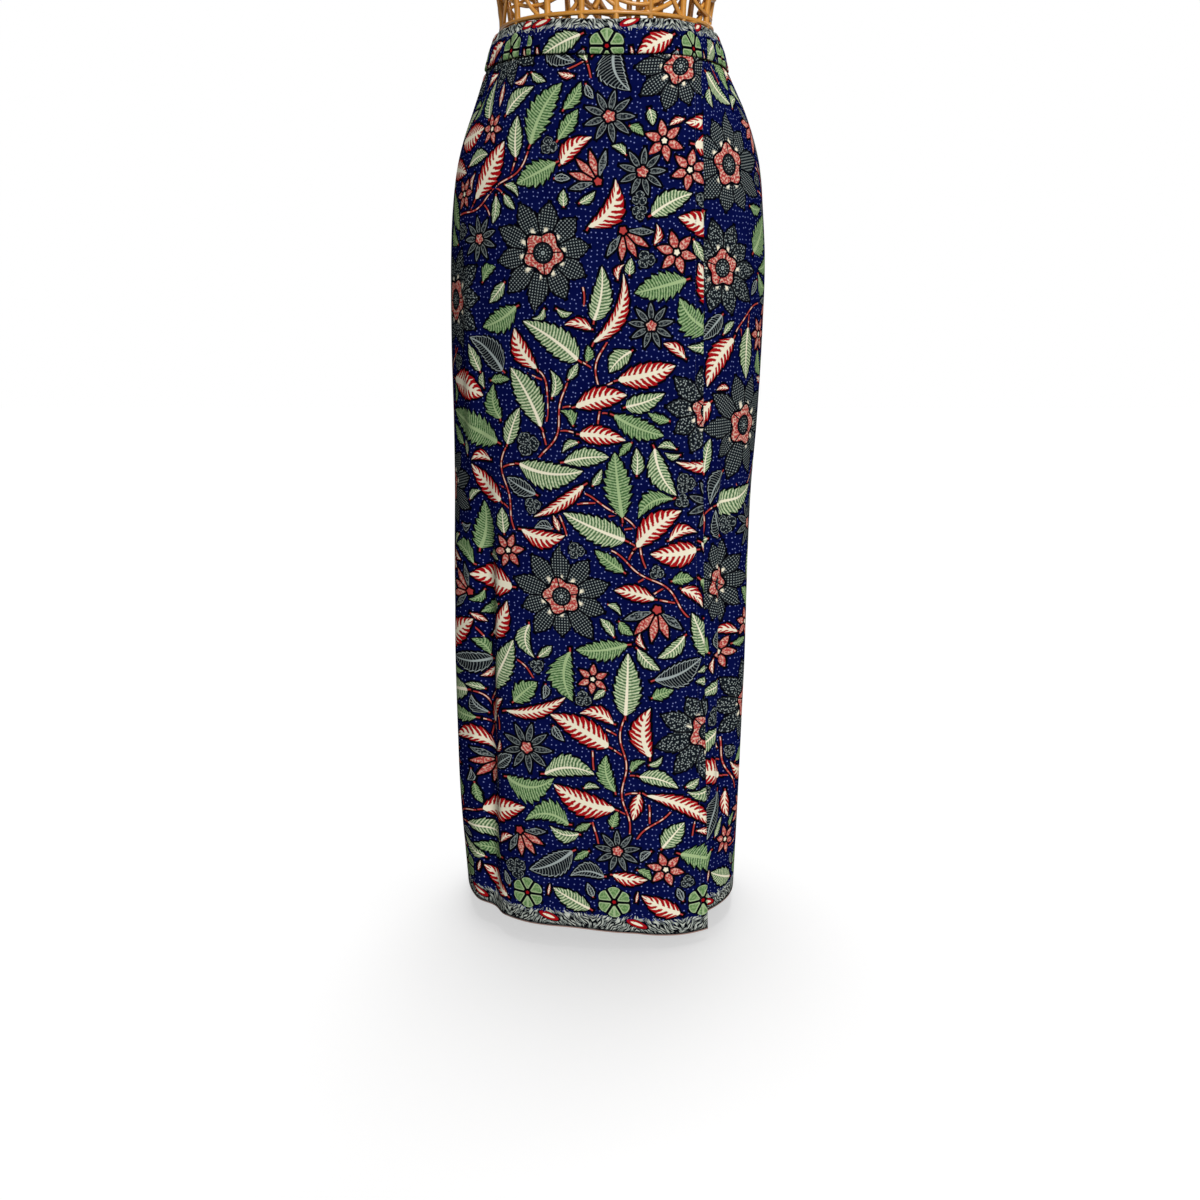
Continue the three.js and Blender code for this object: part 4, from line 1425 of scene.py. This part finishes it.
loop_draw = np.random.default_rng(61)
weave_runs = [loop(loop_draw, *UPPER_WEAVE) for _ in range(LOOPS)]
weave_runs += [loop(loop_draw, *LOWER_WEAVE) for _ in range(LOOPS // 4)]
canes("cane_form_weave", weave_runs)


# ---------------------------------------------------------------------------------------------
# The stand: a steel pole with a flange and an oval base plate, powder-coated black.
COAT_BLACK = (0.018, 0.018, 0.020, 1)
COAT_WORN = (0.035, 0.035, 0.037, 1)


def powder_coat():
    """Black powder coat: fine orange-peel bumps and slightly uneven gloss."""
    material, tree, shader = new_finish("black_powder_coat", {})
    where = tree.nodes.new("ShaderNodeTexCoord")
    peel = cloud(tree, Ink(where.outputs["Object"]), 900.0, 3.0)
    worn = cloud(tree, Ink(where.outputs["Object"]), 14.0, 4.0)
    feed(tree, shader.inputs["Base Color"], paint(COAT_BLACK, COAT_WORN, worn))
    feed(tree, shader.inputs["Roughness"], worn * 0.2 + 0.38)
    roughen(tree, shader, peel, strength=0.3, distance=0.0002)
    return material


steel_finish = powder_coat()
for node in ("stand_pole", "stand_base"):
    part = bpy.data.objects[node]
    part.data.materials.clear()
    part.data.materials.append(steel_finish)


# ---------------------------------------------------------------------------------------------
# The white floor and soft lamps as far off as the sun: one in front, a weaker one on the right,
# one overhead that lays the shadow on the floor, and a weak one behind.
FLOOR_HALF = 6.0
ROOM_LIGHT = 0.19
ROOM_SEEN = 1.0

floor_mesh = bpy.data.meshes.new("floor")
corners = [(x * FLOOR_HALF, y * FLOOR_HALF, 0) for x, y in ((-1, -1), (1, -1), (1, 1), (-1, 1))]
floor_mesh.from_pydata(corners, [], [(0, 1, 2, 3)])
floor = bpy.data.objects.new("floor", floor_mesh)
bpy.context.scene.collection.objects.link(floor)
floor_mesh.materials.append(new_finish("white_floor", {
    "Base Color": (0.55, 0.55, 0.55, 1),
    "Roughness": 0.9,
    "Specular IOR Level": 0.1,
    "Emission Color": (1, 1, 1, 1),
    "Emission Strength": 0.56,
})[0])
floor.visible_diffuse = False

world = bpy.data.worlds.new("white_room")
world.use_nodes = True
sky = world.node_tree
seen_by = sky.nodes.new("ShaderNodeLightPath")
brightness = Ink(seen_by.outputs["Is Camera Ray"]) * (ROOM_SEEN - ROOM_LIGHT) + ROOM_LIGHT
sky.nodes["Background"].inputs["Color"].default_value = (1, 1, 1, 1)
feed(sky, sky.nodes["Background"].inputs["Strength"], brightness)
bpy.context.scene.world = world
bpy.context.scene.view_settings.view_transform = "Standard"

# The front lamp lights the figure alone, which keeps its long shadow off the floor.
figure = bpy.data.collections.new("figure")
for piece in bpy.context.scene.objects:
    if piece.type == "MESH" and piece != floor:
        figure.objects.link(piece)

# Each lamp: degrees round the figure, degrees above the floor, brightness on a white surface that
# faces it, how many degrees wide it looks, and whether it lights the floor.
LAMPS = np.array([
    ("front", 18, 30, 0.90, 20, False),
    ("right", 65, 25, 0.05, 30, True),
    ("overhead", 180, 82, 0.60, 20, True),
    ("behind", 160, 30, 0.12, 30, True),
], dtype=[("name", "U20"), ("round", float), ("up", float), ("white", float), ("wide", float),
          ("floor", bool)])
for lamp in LAMPS:
    light = bpy.data.lights.new(str(lamp["name"]), "SUN")
    light.energy = float(lamp["white"]) * math.pi
    light.angle = math.radians(lamp["wide"])
    lit = bpy.data.objects.new(str(lamp["name"]), light)
    lit.rotation_euler = (math.radians(90 - lamp["up"]), 0, math.radians(lamp["round"]))
    if not lamp["floor"]:
        lit.light_linking.receiver_collection = figure
    bpy.context.scene.collection.objects.link(lit)
